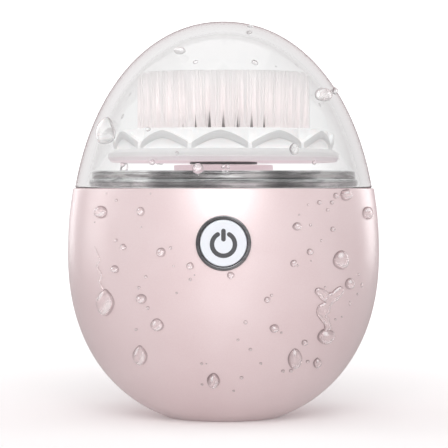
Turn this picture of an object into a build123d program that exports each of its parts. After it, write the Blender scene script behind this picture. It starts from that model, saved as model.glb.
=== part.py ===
from build123d import *
import math
import os

# Facial cleansing brush, in millimetres. The origin is the centre of the flat base,
# +Z points up through the clear cover, and the power button faces -Y.

# Egg-shaped outside: two superellipse halves that meet at the belly
BELLY_Z = 38.6
BELLY_RADIUS = 36.95
LOWER_HALF_AXIS = 40.6
UPPER_HALF_AXIS = 55.1
LOWER_SQUARENESS = 2.19
UPPER_SQUARENESS = 2.10
RIM_Z = 54.2
BODY_WALL = 2.2
BODY_FLOOR = 2.4
BASE_ROUND = 1.2
RIM_CHAMFER = 0.35

# Clear cover
COVER_STEP = 0.45
COVER_BASE_WALL = 2.6
COVER_CROWN_WALL = 2.5
COVER_EDGE_ROUND = 0.4

# Deck that closes the body, and the chromed neck ring round it
DECK_TOP_Z = 57.9
DECK_THICKNESS = 2.0
DECK_RADIUS = 29.9
SPIGOT_RADIUS = 33.1
SPIGOT_BOTTOM_Z = 50.0
BOSS_RADIUS = 11.8
BOSS_TOP_Z = 59.6
NECK_RADIUS = 31.3
NECK_TOP_Z = 58.0
NECK_BEAD_RADIUS = 31.95
NECK_BEAD_Z = 55.5
DECK_HUB_RADIUS = 6.5
DECK_SKIRT_RADIUS = 28.0
DECK_SKIRT_Z = 52.4
SPIGOT_INNER_RADIUS = 30.6
DECK_SEAL_RADIUS = 0.72
DECK_SEAL_Z = 52.1
DECK_GROOVE_RADIUS = 32.2
DECK_POST_RADIUS = 2.6
DECK_POST_BORE_Z = 45.0
DECK_POSTS = [(22.0, 8.0), (-22.0, 8.0), (19.0, -15.0), (-19.0, -15.0)]

# Drive line
SPINDLE_RADIUS = 2.5
SPINDLE_BOTTOM_Z = 41.5
SPINDLE_TOP_Z = 63.5
BUSH_RADIUS = 4.0
DECK_BUSH_LOW = 53.4
DECK_BUSH_HIGH = 58.3
SPINDLE_SEAL_RADIUS = 4.7
SPINDLE_SEAL_TOP = 59.3
RUNNING_CLEARANCE = 0.05
COUPLING_RADIUS = 8.0
COUPLING_GAP = 0.2
COUPLING_HEX = 7.0
COUPLING_POST = 3.9

# Gear train: two equal stages, so the output turns about the motor's own axis
TOOTH_MODULE = 0.5
PINION_TEETH = 12
WHEEL_TEETH = 42
GEAR_CENTRES = TOOTH_MODULE * (PINION_TEETH + WHEEL_TEETH) / 2
PRESSURE_ANGLE = math.radians(20)
TOOTH_SHARE = 0.46
PINION_ADDENDUM = 1.0
PINION_DEDENDUM = 1.2
WHEEL_ADDENDUM = 0.8
WHEEL_DEDENDUM = 1.25
AXLE_RADIUS = 1.0
PINION_BOTTOM_Z = 37.9
IDLER_BOTTOM_Z = 38.0
IDLER_STEP_Z = 40.6
IDLER_TOP_Z = 45.4
OUTPUT_GEAR_LOW = 42.0
OUTPUT_GEAR_HIGH = 45.0
OUTPUT_HUB_RADIUS = 4.2

# Gearbox, stacked on the chassis
CHASSIS_BOTTOM_Z = 34.5
CHASSIS_TOP_Z = 36.0
CHASSIS_RADIUS = 29.5
GEARBOX_WALL = 1.4
GEARBOX_ROOM = 11.6
GEARBOX_TOP_Z = 46.4
GEARBOX_LID = 1.6
LUG_RADIUS = 2.0
SCREW_RADIUS = 0.8
GEARBOX_LUGS = [(14.3, 6.75), (-14.3, 6.75), (0.0, -14.3), (0.0, 27.2)]

# Motor with two flats, on the axis under the gearbox
MOTOR_RADIUS = 10.2
MOTOR_FLAT = 7.7
MOTOR_BOTTOM_Z = 12.0
MOTOR_SKIN = 0.6
BEARING_RADIUS = 2.4
SHAFT_RADIUS = 1.0
ROTOR_RADIUS = 6.4
ROTOR_LOW = 17.5
ROTOR_HIGH = 29.5
COMMUTATOR_RADIUS = 2.3
POLE_TURNS = (0, 120, 240)
TAB_X = (6.1, 6.5)
TAB_HALF_WIDTH = 0.8
END_CAP_BOTTOM_Z = 10.0
END_CAP_TOP_Z = 12.8

# Cell and circuit board
CELL_SIZE = (24.2, 5.5, 22.8)
CELL_BOTTOM_Z = 11.4
CELL_FRONT_Y = 12.5
BOARD_WIDTH = 20.0
BOARD_DEPTH = 27.2
BOARD_THICKNESS = 1.2
BOARD_LOW_Z = 20.0
BOARD_HIGH_Z = 49.0

# Power button, measured outwards from the axis along -Y
BUTTON_Z = 42.1
BEZEL_RADIUS = 6.12
BEZEL_OPENING = 5.35
BEZEL_FRONT = 37.2
BUTTON_RADIUS = 5.2
BUTTON_FRONT = 37.05
BUTTON_TRAVEL = 0.4
BEZEL_BACK = 33.2
FLANGE_RADIUS = 7.0
FLANGE_THICKNESS = 0.7
STEM_RADIUS = 1.9
STEM_BACK = 32.25
PLUNGER_RADIUS = 1.5
PLUNGER_BACK = 30.3
PLUNGER_FRONT = 32.2
SWITCH_FACE = 31.4
ICON_RADIUS = 2.53
ICON_STROKE = 1.0
ICON_DROP = 0.26
ICON_GAP_DEGREES = 60
ICON_DEPTH = 0.3

# Brush head
HEAD_BOTTOM_Z = 60.3
HEAD_RADIUS = 27.4
HEAD_CHAMFER = 0.95
HEAD_EDGE_Z = 62.1
HEAD_TOP_Z = 63.3
HUB_RADIUS = 6.5
HUB_TOP_Z = 65.2
SKIRT_RADIUS = 26.3
SKIRT_FIT = 0.03
SKIRT_LOBES = 12
SKIRT_TURN = math.radians(-91.7)
SKIRT_VALLEY_Z = 64.55
SKIRT_PEAK_Z = 67.3
PLATE_RADIUS = 24.2
PLATE_TOP_Z = 67.7
TUFT_RADIUS = 1.25
TUFT_TOP_Z = 81.1
TUFT_ROOT = 2.0
TUFT_PITCH = 3.2
OUTER_TUFT_RING = 19.25

# Lead wires and charging parts
WIRE_RADIUS = 0.45
LEAD_END_Y = 0.4 - BOARD_DEPTH
COIL_RADIUS = 11.8
COIL_HEIGHT = 1.0
FERRITE_HEIGHT = 0.6

FRONT = Plane.XZ
UPRIGHT = (Align.CENTER, Align.CENTER, Align.MIN)


def cylinder(radius, low, high, x=0.0, y=0.0):
    """Upright cylinder between two heights."""
    return Pos(x, y, low) * Cylinder(radius, high - low, align=UPRIGHT)


def tube(inner, outer, low, high, x=0.0, y=0.0):
    """Upright tube between two heights."""
    return cylinder(outer, low, high, x, y) - cylinder(inner, low, high, x, y)


def block(x_range, y_range, z_range):
    """Box from its three spans."""
    corner = Pos(x_range[0], y_range[0], z_range[0])
    sides = [span[1] - span[0] for span in (x_range, y_range, z_range)]
    return corner * Box(*sides, align=(Align.MIN, Align.MIN, Align.MIN))


def plug(radius, back, front, x=0.0, z=BUTTON_Z):
    """Cylinder along the button's axis, from its back to its front distance."""
    return FRONT.offset(back) * Pos(x, z, 0) * Cylinder(radius, front - back, align=UPRIGHT)


def turned(edges):
    """Solid of revolution about Z from edges drawn as (radius, height)."""
    return revolve(FRONT * make_face(edges), Axis.Z)


def turned_points(points):
    """Solid of revolution about Z from a closed outline of (radius, height) points."""
    return turned(Polyline(*points, close=True))


def egg_point(angle, inset, wall_drop):
    """Point of the egg's outline: angle 0 is the belly, positive is above it."""
    squareness = UPPER_SQUARENESS if angle > 0 else LOWER_SQUARENESS
    half_axis = UPPER_HALF_AXIS - wall_drop if angle > 0 else LOWER_HALF_AXIS - inset
    radius = (BELLY_RADIUS - inset) * max(math.cos(angle), 0.0) ** (2 / squareness)
    rise = half_axis * abs(math.sin(angle)) ** (2 / squareness)
    return round(radius, 6), BELLY_Z + math.copysign(rise, angle)


def egg_angle(height, inset, wall_drop):
    """Angle at which the egg's outline reaches a height."""
    above = height > BELLY_Z
    squareness = UPPER_SQUARENESS if above else LOWER_SQUARENESS
    half_axis = UPPER_HALF_AXIS - wall_drop if above else LOWER_HALF_AXIS - inset
    share = (abs(height - BELLY_Z) / half_axis) ** (squareness / 2)
    return math.copysign(math.asin(share), height - BELLY_Z)


def egg_points(low, high, inset, wall_drop, count=12):
    """Points along the egg's outline between two heights, or up to the crown."""
    first = egg_angle(low, inset, wall_drop)
    last = math.pi / 2 if high is None else egg_angle(high, inset, wall_drop)
    angles = [first + (last - first) * step / count for step in range(count + 1)]
    return [egg_point(angle, inset, wall_drop) for angle in angles]


def egg_solid(low, high, inset, wall_drop):
    """Solid inside the egg's outline between two heights, or up to the crown."""
    curve = egg_points(low, high, inset, wall_drop)
    closing = [(0, low), curve[0]] if high is None else [(0, high), (0, low), curve[0]]
    return turned([Spline(*curve), Polyline(curve[-1], *closing)])


# Body and cover ---------------------------------------------------------------

def make_body_shell():
    """One-piece cup with a flat base, a floor and a hole for the button."""
    cup = egg_solid(0, RIM_Z, 0, 0)
    cup = fillet(cup.edges().sort_by(Axis.Z)[0], BASE_ROUND)
    cup = chamfer(cup.edges().sort_by(Axis.Z)[-1], RIM_CHAMFER)
    cup -= egg_solid(BODY_FLOOR, RIM_Z, BODY_WALL, BODY_WALL)
    return cup - plug(BEZEL_RADIUS, MOTOR_RADIUS, BEZEL_FRONT)


def make_clear_cover():
    """Thick dome that stands on the body's rim round the neck ring."""
    inner_inset = COVER_STEP + COVER_BASE_WALL
    dome = egg_solid(RIM_Z, None, COVER_STEP, 0)
    dome = fillet(dome.edges().sort_by(Axis.Z)[0], COVER_EDGE_ROUND)
    return dome - egg_solid(RIM_Z, None, inner_inset, COVER_CROWN_WALL)


# Deck, neck and seals ---------------------------------------------------------

def make_deck_plate():
    """Deck with a raised boss, a hub for its bush, a spigot and four screw posts."""
    underside = DECK_TOP_Z - DECK_THICKNESS
    deck = turned_points([
        (BUSH_RADIUS, DECK_BUSH_LOW), (DECK_HUB_RADIUS, DECK_BUSH_LOW), (DECK_HUB_RADIUS, underside),
        (DECK_SKIRT_RADIUS, underside), (DECK_SKIRT_RADIUS, DECK_SKIRT_Z),
        (SPIGOT_INNER_RADIUS, DECK_SKIRT_Z), (SPIGOT_INNER_RADIUS, SPIGOT_BOTTOM_Z),
        (SPIGOT_RADIUS, SPIGOT_BOTTOM_Z), (SPIGOT_RADIUS, RIM_Z), (DECK_RADIUS, RIM_Z),
        (DECK_RADIUS, DECK_TOP_Z), (BOSS_RADIUS, DECK_TOP_Z), (BOSS_RADIUS, BOSS_TOP_Z),
        (SPINDLE_SEAL_RADIUS, BOSS_TOP_Z), (SPINDLE_SEAL_RADIUS, DECK_BUSH_HIGH),
        (BUSH_RADIUS, DECK_BUSH_HIGH),
    ])
    boss_edge = deck.edges().filter_by(GeomType.CIRCLE).group_by(Axis.Z)[-1].sort_by(SortBy.RADIUS)[-1]
    deck = fillet(boss_edge, 0.4)
    groove = DECK_SEAL_RADIUS + 0.08
    deck -= tube(DECK_GROOVE_RADIUS, SPIGOT_RADIUS + 1, DECK_SEAL_Z - groove, DECK_SEAL_Z + groove)
    for x, y in DECK_POSTS:
        deck += cylinder(DECK_POST_RADIUS, CHASSIS_TOP_Z, underside, x, y)
        deck -= cylinder(AXLE_RADIUS, CHASSIS_TOP_Z, DECK_POST_BORE_Z, x, y)
    return deck


def make_neck_ring():
    """Chromed ring with a bead that the cover grips."""
    low = (NECK_RADIUS - 0.4, RIM_Z)
    bead_start = (NECK_RADIUS - 0.2, NECK_BEAD_Z - 0.7)
    bead_end = (NECK_RADIUS - 0.1, NECK_BEAD_Z + 0.7)
    return turned([
        Polyline((DECK_RADIUS, RIM_Z), low, bead_start),
        ThreePointArc(bead_start, (NECK_BEAD_RADIUS, NECK_BEAD_Z), bead_end),
        Polyline(bead_end, (NECK_RADIUS, NECK_TOP_Z - 0.5), (NECK_RADIUS - 0.5, NECK_TOP_Z),
                 (DECK_RADIUS, NECK_TOP_Z), (DECK_RADIUS, RIM_Z)),
    ])


def make_deck_seal():
    """O-ring between the deck's spigot and the body."""
    return Pos(0, 0, DECK_SEAL_Z) * Torus(DECK_GROOVE_RADIUS + DECK_SEAL_RADIUS, DECK_SEAL_RADIUS)


def make_spindle_seal():
    """Lip seal round the spindle, in the deck's boss."""
    lip = SPINDLE_RADIUS + RUNNING_CLEARANCE
    return turned_points([
        (lip, SPINDLE_SEAL_TOP - 0.3), (lip + 0.5, DECK_BUSH_HIGH), (SPINDLE_SEAL_RADIUS, DECK_BUSH_HIGH),
        (SPINDLE_SEAL_RADIUS, SPINDLE_SEAL_TOP), (lip, SPINDLE_SEAL_TOP),
    ])


def make_bush(low, high):
    """Plain bush for the spindle."""
    return tube(SPINDLE_RADIUS + RUNNING_CLEARANCE, BUSH_RADIUS, low, high)


# Chassis and fasteners --------------------------------------------------------

def make_chassis():
    """Bulkhead under the gearbox, with a cell tray and two rails for the circuit board."""
    width, depth, height = CELL_SIZE
    frame = cylinder(CHASSIS_RADIUS, CHASSIS_BOTTOM_Z, CHASSIS_TOP_Z)
    frame -= block((-11, 11), (-CHASSIS_RADIUS, -BOARD_DEPTH), (CHASSIS_BOTTOM_Z, CHASSIS_TOP_Z))
    tray_side = width / 2 + 0.2
    tray_back = CELL_FRONT_Y + depth + 0.2
    tray_floor = CELL_BOTTOM_Z - 0.2
    tray = block((-tray_side - 1.2, tray_side + 1.2), (CELL_FRONT_Y, tray_back + 1.2),
                 (tray_floor - 1.2, CHASSIS_BOTTOM_Z))
    tray -= block((-tray_side, tray_side), (CELL_FRONT_Y, tray_back), (tray_floor, CHASSIS_BOTTOM_Z))
    frame += tray
    for side in (-1, 1):
        frame += block(sorted((side * 6.5, side * 10.0)), (-BOARD_DEPTH, -BOARD_DEPTH + 1.8), (24.0, 47.0))
    frame -= cylinder(3.1, CHASSIS_BOTTOM_Z, CHASSIS_TOP_Z)
    for x, y in DECK_POSTS:
        frame -= cylinder(1.2, CHASSIS_BOTTOM_Z, CHASSIS_TOP_Z, x, y)
    for x, y in GEARBOX_LUGS[:3]:
        frame -= cylinder(SCREW_RADIUS, CHASSIS_BOTTOM_Z, CHASSIS_TOP_Z, x, y)
    for x, z in board_screw_places():
        frame -= plug(0.6, BOARD_DEPTH - 1.8, BOARD_DEPTH, x, z)
    return frame


def board_screw_places():
    """Screw positions on the circuit board, as (x, height)."""
    return [(side * 8.2, z) for side in (-1, 1) for z in (26.5, 45.0)]


def screw(radius, tip, seat, head_radius, head_height, x, y):
    """Screw with a pan head and a cross slot; the head lies beyond the seat."""
    way = 1 if seat > tip else -1
    shank = cylinder(radius, min(tip, seat), max(tip, seat), x, y)
    top = seat + way * head_height
    head = cylinder(head_radius, min(seat, top), max(seat, top), x, y)
    slot_end = top - way * head_height / 2
    for turn in (0, 90):
        slot = Box(head_radius * 1.3, 0.3, head_height / 2)
        head -= Pos(x, y, (top + slot_end) / 2) * Rot(Z=turn) * slot
    return shank + head


def make_chassis_screws():
    """Screws from below the bulkhead into the deck's posts."""
    return Compound([
        screw(AXLE_RADIUS, 43.5, CHASSIS_BOTTOM_Z, 1.9, 1.3, x, y).solid() for x, y in DECK_POSTS
    ])


def make_gearbox_screws():
    """Screws down through the gearbox lugs; three of them reach the bulkhead."""
    seat = GEARBOX_TOP_Z + GEARBOX_LID
    return Compound([
        screw(SCREW_RADIUS, CHASSIS_TOP_Z + (0.2 if y > 20 else -1.3), seat, 1.5, 1.0, x, y).solid()
        for x, y in GEARBOX_LUGS
    ])


# Gearbox ----------------------------------------------------------------------

def gearbox_outline(room):
    """Rounded outline round both gear axes, with the given radius."""
    return Pos(0, GEAR_CENTRES / 2) * Rot(Z=90) * SlotCenterToCenter(GEAR_CENTRES, 2 * room)


def gearbox_slab(low, high):
    """Gearbox outline and its four screw lugs between two heights."""
    slab = Pos(0, 0, low) * extrude(gearbox_outline(GEARBOX_ROOM + GEARBOX_WALL), high - low)
    for x, y in GEARBOX_LUGS:
        slab += cylinder(LUG_RADIUS, low, high, x, y)
    for x, y in GEARBOX_LUGS:
        slab -= cylinder(SCREW_RADIUS, low, high, x, y)
    return slab


def make_gearbox_housing():
    """Deep tray that holds both gear axes."""
    floor = CHASSIS_TOP_Z + GEARBOX_WALL
    housing = gearbox_slab(CHASSIS_TOP_Z, GEARBOX_TOP_Z)
    housing -= Pos(0, 0, floor) * extrude(gearbox_outline(GEARBOX_ROOM), GEARBOX_TOP_Z - floor)
    housing -= cylinder(2.0, CHASSIS_TOP_Z, floor)
    return housing - cylinder(AXLE_RADIUS, CHASSIS_TOP_Z, floor, 0, GEAR_CENTRES)


def make_gearbox_cover():
    """Lid with a hub for the upper gearbox bush."""
    seat = GEARBOX_TOP_Z + GEARBOX_LID
    lid = gearbox_slab(GEARBOX_TOP_Z, seat)
    lid += cylinder(BUSH_RADIUS + 1.5, seat, seat + 2.2)
    lid -= cylinder(BUSH_RADIUS, GEARBOX_TOP_Z, seat + 2.2)
    return lid - cylinder(AXLE_RADIUS, GEARBOX_TOP_Z, seat, 0, GEAR_CENTRES)


def involute(angle):
    """Involute function of a pressure angle."""
    return math.tan(angle) - angle


def gear(teeth, addendum, dedendum, bore, low, high, first_tooth, y=0.0):
    """Spur gear with involute flanks; first_tooth is one tooth's direction in degrees."""
    pitch_radius = TOOTH_MODULE * teeth / 2
    base_radius = pitch_radius * math.cos(PRESSURE_ANGLE)
    tip = pitch_radius + addendum * TOOTH_MODULE
    root = pitch_radius - dedendum * TOOTH_MODULE
    half_tooth = TOOTH_SHARE * math.pi / teeth + involute(PRESSURE_ANGLE)

    def half_angle(radius):
        return half_tooth - involute(math.acos(min(base_radius / radius, 1.0)))

    def at(radius, angle):
        return radius * math.cos(angle), radius * math.sin(angle)

    start = max(root, base_radius)
    radii = [start + (tip - start) * step / 4 for step in range(5)]
    edges = []
    for tooth in range(teeth):
        middle = math.radians(first_tooth) + 2 * math.pi * tooth / teeth
        following = middle + 2 * math.pi / teeth
        rising = [at(radius, middle - half_angle(radius)) for radius in radii]
        falling = [at(radius, middle + half_angle(radius)) for radius in reversed(radii)]
        root_out = at(root, middle + half_angle(start))
        root_back = at(root, following - half_angle(start))
        next_start = at(start, following - half_angle(start))
        edges += [Spline(*rising), Line(rising[-1], falling[0]), Spline(*falling)]
        if root < start:
            edges += [Line(falling[-1], root_out), Line(root_back, next_start)]
        edges.append(Line(root_out, root_back))
    blank = extrude(make_face(edges), high - low)
    return Pos(0, y, low) * (blank - Cylinder(bore, high - low, align=UPRIGHT))


def make_motor_pinion():
    """Pinion on the motor's shaft."""
    return gear(PINION_TEETH, PINION_ADDENDUM, PINION_DEDENDUM, SHAFT_RADIUS,
                PINION_BOTTOM_Z, IDLER_STEP_Z, 90)


def make_idler_gear():
    """Compound gear: a wheel under a pinion, moulded as one piece."""
    bore = AXLE_RADIUS + RUNNING_CLEARANCE
    gap_turn = 180 / WHEEL_TEETH
    wheel = gear(WHEEL_TEETH, WHEEL_ADDENDUM, WHEEL_DEDENDUM, bore,
                 IDLER_BOTTOM_Z, IDLER_STEP_Z, -90 + gap_turn, GEAR_CENTRES)
    pinion = gear(PINION_TEETH, PINION_ADDENDUM, PINION_DEDENDUM, bore,
                  IDLER_STEP_Z, IDLER_TOP_Z, -90, GEAR_CENTRES)
    return wheel + pinion


def make_output_gear():
    """Wheel on the brush spindle, with a hub."""
    gap_turn = 180 / WHEEL_TEETH
    wheel = gear(WHEEL_TEETH, WHEEL_ADDENDUM, WHEEL_DEDENDUM, SPINDLE_RADIUS,
                 OUTPUT_GEAR_LOW, OUTPUT_GEAR_HIGH, 90 + gap_turn)
    return wheel + tube(SPINDLE_RADIUS, OUTPUT_HUB_RADIUS, OUTPUT_GEAR_LOW - 0.3, OUTPUT_GEAR_HIGH + 1.1)


# Motor ------------------------------------------------------------------------

def motor_section(shrink):
    """Round motor section with two flats, shrunk by a distance."""
    flats = Rectangle(3 * MOTOR_RADIUS, 2 * (MOTOR_FLAT - shrink))
    return Circle(MOTOR_RADIUS - shrink) & flats


def motor_solid(shrink, low, high):
    """Upright solid with the motor's section."""
    return Pos(0, 0, low) * extrude(motor_section(shrink), high - low)


def make_motor_can():
    """Steel can, open at the bottom, with a boss for the upper bearing."""
    can = motor_solid(0, MOTOR_BOTTOM_Z, CHASSIS_BOTTOM_Z)
    can -= motor_solid(MOTOR_SKIN, MOTOR_BOTTOM_Z, CHASSIS_BOTTOM_Z - MOTOR_SKIN)
    can += cylinder(3.0, CHASSIS_BOTTOM_Z, CHASSIS_TOP_Z)
    return can - cylinder(BEARING_RADIUS, CHASSIS_BOTTOM_Z - MOTOR_SKIN, CHASSIS_TOP_Z)


def make_motor_magnets():
    """Two curved magnets against the can's round sides."""
    arc = Circle(MOTOR_RADIUS - MOTOR_SKIN) - Circle(ROTOR_RADIUS + 0.5)
    arc &= Rectangle(3 * MOTOR_RADIUS, 2 * (MOTOR_FLAT - MOTOR_SKIN))
    arc -= Rectangle(8.0, 3 * MOTOR_RADIUS)
    overhang = 1.5
    length = ROTOR_HIGH - ROTOR_LOW + 2 * overhang
    return Compound((Pos(0, 0, ROTOR_LOW - overhang) * extrude(arc, length)).solids())


def make_motor_end_cap():
    """Plastic end cap that holds the lower bearing and both brushes."""
    cap = motor_solid(0, END_CAP_BOTTOM_Z, MOTOR_BOTTOM_Z)
    cap += motor_solid(MOTOR_SKIN, MOTOR_BOTTOM_Z, END_CAP_TOP_Z)
    cap += cylinder(BEARING_RADIUS + 1.0, END_CAP_BOTTOM_Z - 0.8, END_CAP_BOTTOM_Z)
    cap -= cylinder(BEARING_RADIUS, END_CAP_BOTTOM_Z - 0.8, END_CAP_TOP_Z)
    for side in (-1, 1):
        cap -= motor_tab(side, END_CAP_BOTTOM_Z)
    return cap


def motor_tab(side, low):
    """Terminal tab through the end cap, from a height up to the cap's inner face."""
    x_range = sorted(side * x for x in TAB_X)
    return block(x_range, (-TAB_HALF_WIDTH, TAB_HALF_WIDTH), (low, END_CAP_TOP_Z))


def make_motor_bearings():
    """Sintered bearings at both ends of the motor's shaft."""
    bore = SHAFT_RADIUS + RUNNING_CLEARANCE
    heights = [(CHASSIS_BOTTOM_Z - MOTOR_SKIN, CHASSIS_TOP_Z - 0.1),
               (END_CAP_BOTTOM_Z - 0.6, END_CAP_BOTTOM_Z + 1.6)]
    return Compound([tube(bore, BEARING_RADIUS, low, high).solid() for low, high in heights])


def make_motor_brushes():
    """Leaf brushes beside the commutator, with their terminal tabs."""
    brushes = []
    for side in (-1, 1):
        near = COMMUTATOR_RADIUS + 0.1
        leaf = block(sorted((side * near, side * (near + 0.2))), (-1.2, 1.2), (12.9, 15.9))
        leaf += block(sorted((side * near, side * TAB_X[1])), (-1.2, 1.2), (END_CAP_TOP_Z, 13.0))
        leaf += motor_tab(side, 7.8)
        brushes.append(leaf.solid())
    return Compound(brushes)


def make_rotor_core():
    """Laminated three-pole core."""
    core = Circle(2.2)
    for turn in POLE_TURNS:
        pole = Pos(3.6, 0) * Rectangle(3.6, 2.0)
        shoe = (Circle(ROTOR_RADIUS) - Circle(5.3)) & (Pos(5.0, 0) * Rectangle(6.0, 9.0))
        core += Rot(Z=turn) * (pole + shoe)
    core -= Circle(SHAFT_RADIUS)
    return Pos(0, 0, ROTOR_LOW) * extrude(core, ROTOR_HIGH - ROTOR_LOW)


def make_rotor_windings():
    """One copper winding round each pole."""
    windings = []
    along = (2.7, 4.6)
    for turn in POLE_TURNS:
        coil = block(along, (-2.3, 2.3), (ROTOR_LOW - 1.1, ROTOR_HIGH + 1.1))
        coil -= block(along, (-1.0, 1.0), (ROTOR_LOW, ROTOR_HIGH))
        windings.append((Rot(Z=turn) * coil).solid())
    return Compound(windings)


def make_commutator():
    """Commutator sleeve with three slots."""
    sleeve = tube(SHAFT_RADIUS, COMMUTATOR_RADIUS, 13.2, 16.2)
    for turn in POLE_TURNS:
        sleeve -= Rot(Z=turn) * block((1.7, COMMUTATOR_RADIUS + 0.1), (-0.15, 0.15), (13.2, 15.8))
    return sleeve


# Cell, board and charging parts -----------------------------------------------

def make_battery_cell():
    """Pouch cell with softened corners."""
    width, depth, height = CELL_SIZE
    cell = block((-width / 2, width / 2), (CELL_FRONT_Y, CELL_FRONT_Y + depth),
                 (CELL_BOTTOM_Z, CELL_BOTTOM_Z + height))
    return fillet(cell.edges().filter_by(Axis.Z), 1.2)


def make_circuit_board():
    """Upright board in front of the motor."""
    half = BOARD_WIDTH / 2
    outline = Pos(0, (BOARD_LOW_Z + BOARD_HIGH_Z) / 2) * RectangleRounded(
        BOARD_WIDTH, BOARD_HIGH_Z - BOARD_LOW_Z, 1.0)
    board = FRONT.offset(BOARD_DEPTH) * extrude(outline, BOARD_THICKNESS)
    for x, z in board_screw_places():
        board -= plug(0.6, BOARD_DEPTH, BOARD_DEPTH + BOARD_THICKNESS, x, z)
    return board


def on_board(x, z, width, height, rise):
    """Component on the board's outer face, from its centre and size."""
    face = BOARD_DEPTH + BOARD_THICKNESS
    return block((x - width / 2, x + width / 2), (-face - rise, -face), (z - height / 2, z + height / 2))


def make_board_components():
    """Controller, charger chip, coil driver, capacitors and lead sockets."""
    parts = [on_board(-4.8, 33.5, 4.0, 4.0, 0.9), on_board(4.6, 33.0, 3.0, 3.0, 0.9)]
    parts += [on_board(0.2, 28.0, 4.4, 4.4, 1.4)]
    parts += [on_board(x, 36.6, 1.6, 0.8, 0.6) for x in (-6.0, -3.4, 3.4, 6.0)]
    parts += [on_board(x, 22.2, 3.6, 2.4, 1.2) for x in (-5.6, 0.0, 5.6)]
    return Compound([part.solid() for part in parts])


def make_board_screws():
    """Screws that hold the board on the chassis rails."""
    face = BOARD_DEPTH + BOARD_THICKNESS
    return Compound([
        (plug(0.6, BOARD_DEPTH - 1.6, face, x, z) + plug(1.1, face, face + 0.7, x, z)).solid()
        for x, z in board_screw_places()
    ])


def make_charging_coil():
    """Flat pick-up coil on the body's floor."""
    return tube(4.0, COIL_RADIUS, BODY_FLOOR, BODY_FLOOR + COIL_HEIGHT)


def make_ferrite_plate():
    """Ferrite sheet over the coil."""
    top = BODY_FLOOR + COIL_HEIGHT
    return cylinder(COIL_RADIUS, top, top + FERRITE_HEIGHT)


# Lead wires -------------------------------------------------------------------

def wire(points):
    """Insulated wire along straight runs joined by arcs as large as the runs allow."""
    corners = [Vector(*point) for point in points]
    radii = []
    for before, corner, after in zip(corners, corners[1:], corners[2:]):
        turn = math.radians((corner - before).get_angle(after - corner))
        shorter = min((corner - before).length, (after - corner).length)
        radii.append(0.45 * shorter / math.tan(turn / 2))
    path = FilletPolyline(*points, radius=radii)
    start = Plane(origin=path @ 0, z_dir=path % 0)
    return sweep(start * Circle(WIRE_RADIUS), path=path).solid()


def make_motor_leads():
    """Leads from the motor's tabs to the board."""
    return Compound([
        wire([(side * 6.3, -0.8, 8.6), (side * 6.6, -7.0, 8.2), (side * 5.6, -14.0, 11.0),
              (side * 3.8, -20.0, 16.5), (side * 3.2, -24.2, 22.6), (side * 3.0, LEAD_END_Y, 23.4)])
        for side in (-1, 1)
    ])


def make_battery_leads():
    """Leads from the cell, round the motor, to the board."""
    return Compound([
        wire([(11.0, CELL_FRONT_Y, 17.0 + lift), (12.6, 6.0, 17.4 + lift), (13.6, -3.0, 18.0 + lift),
              (12.0, -13.0, 18.6 + lift), (8.0, -21.0, 18.9 + lift), (5.6, LEAD_END_Y, 18.2 + lift)])
        for lift in (3.0, 5.4)
    ])


def make_coil_leads():
    """Leads from the charging coil to the board."""
    return Compound([
        wire([(side * 1.4, -COIL_RADIUS, 3.0), (side * 1.5, -14.2, 3.9), (side * 1.3, -17.6, 7.4),
              (side * 1.2, -20.6, 12.6), (side * 1.1, -23.6, 18.0), (side * 1.0, LEAD_END_Y, 21.0)])
        for side in (-1, 1)
    ])


# Power button -----------------------------------------------------------------

def icon_sketch():
    """Ring with a gap at the top and a bar in the gap, with round ends."""
    ring = Circle(ICON_RADIUS + ICON_STROKE / 2) - Circle(ICON_RADIUS - ICON_STROKE / 2)
    half_gap = math.radians(ICON_GAP_DEGREES / 2)
    reach = 2 * ICON_RADIUS
    ring -= make_face(Polyline((0, 0), (reach * math.sin(half_gap), reach * math.cos(half_gap)),
                               (0, 2 * reach), (-reach * math.sin(half_gap), reach * math.cos(half_gap)),
                               close=True))
    for side in (-1, 1):
        end = (side * ICON_RADIUS * math.sin(half_gap), ICON_RADIUS * math.cos(half_gap))
        ring += Pos(*end) * Circle(ICON_STROKE / 2)
    bar_low = ICON_DROP + 0.37
    bar_high = ICON_DROP + 3.2
    bar = Pos(0, (bar_low + bar_high) / 2) * Rot(Z=90) * SlotOverall(bar_high - bar_low, ICON_STROKE)
    return Pos(0, BUTTON_Z - ICON_DROP) * (ring + bar)


def make_button_icon():
    """Power symbol, moulded into the button's face."""
    symbol = FRONT.offset(BUTTON_FRONT - ICON_DEPTH) * extrude(icon_sketch(), ICON_DEPTH)
    return Compound(symbol.solids())


def make_power_button(icon):
    """Round cap on a stem, with room for the symbol."""
    cap = plug(BUTTON_RADIUS, BUTTON_FRONT - 1.4, BUTTON_FRONT)
    cap = fillet(cap.edges().sort_by(Axis.Y)[0], 0.3)
    button = cap + plug(STEM_RADIUS, STEM_BACK, BUTTON_FRONT - 1.4)
    return button - icon


def make_button_bezel():
    """Metal ring through the wall, held by a flange inside."""
    ring = plug(BEZEL_RADIUS, BEZEL_BACK, BEZEL_FRONT)
    ring = chamfer(ring.edges().sort_by(Axis.Y)[0], 0.2)
    ring += plug(FLANGE_RADIUS, BEZEL_BACK, BEZEL_BACK + FLANGE_THICKNESS)
    return ring - plug(BEZEL_OPENING, BEZEL_BACK, BEZEL_FRONT)


def make_button_membrane():
    """Silicone disc that keeps water out round the button's stem."""
    back = BEZEL_BACK - 0.7
    return plug(FLANGE_RADIUS, back, BEZEL_BACK) - plug(STEM_RADIUS + 0.1, back, BEZEL_BACK)


def make_switch_body():
    """Tactile switch on the board, behind the button."""
    switch = on_board(0, BUTTON_Z, 6.0, 6.0, SWITCH_FACE - BOARD_DEPTH - BOARD_THICKNESS)
    return switch - plug(PLUNGER_RADIUS + RUNNING_CLEARANCE, PLUNGER_BACK - BUTTON_TRAVEL - 0.1, SWITCH_FACE)


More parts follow.
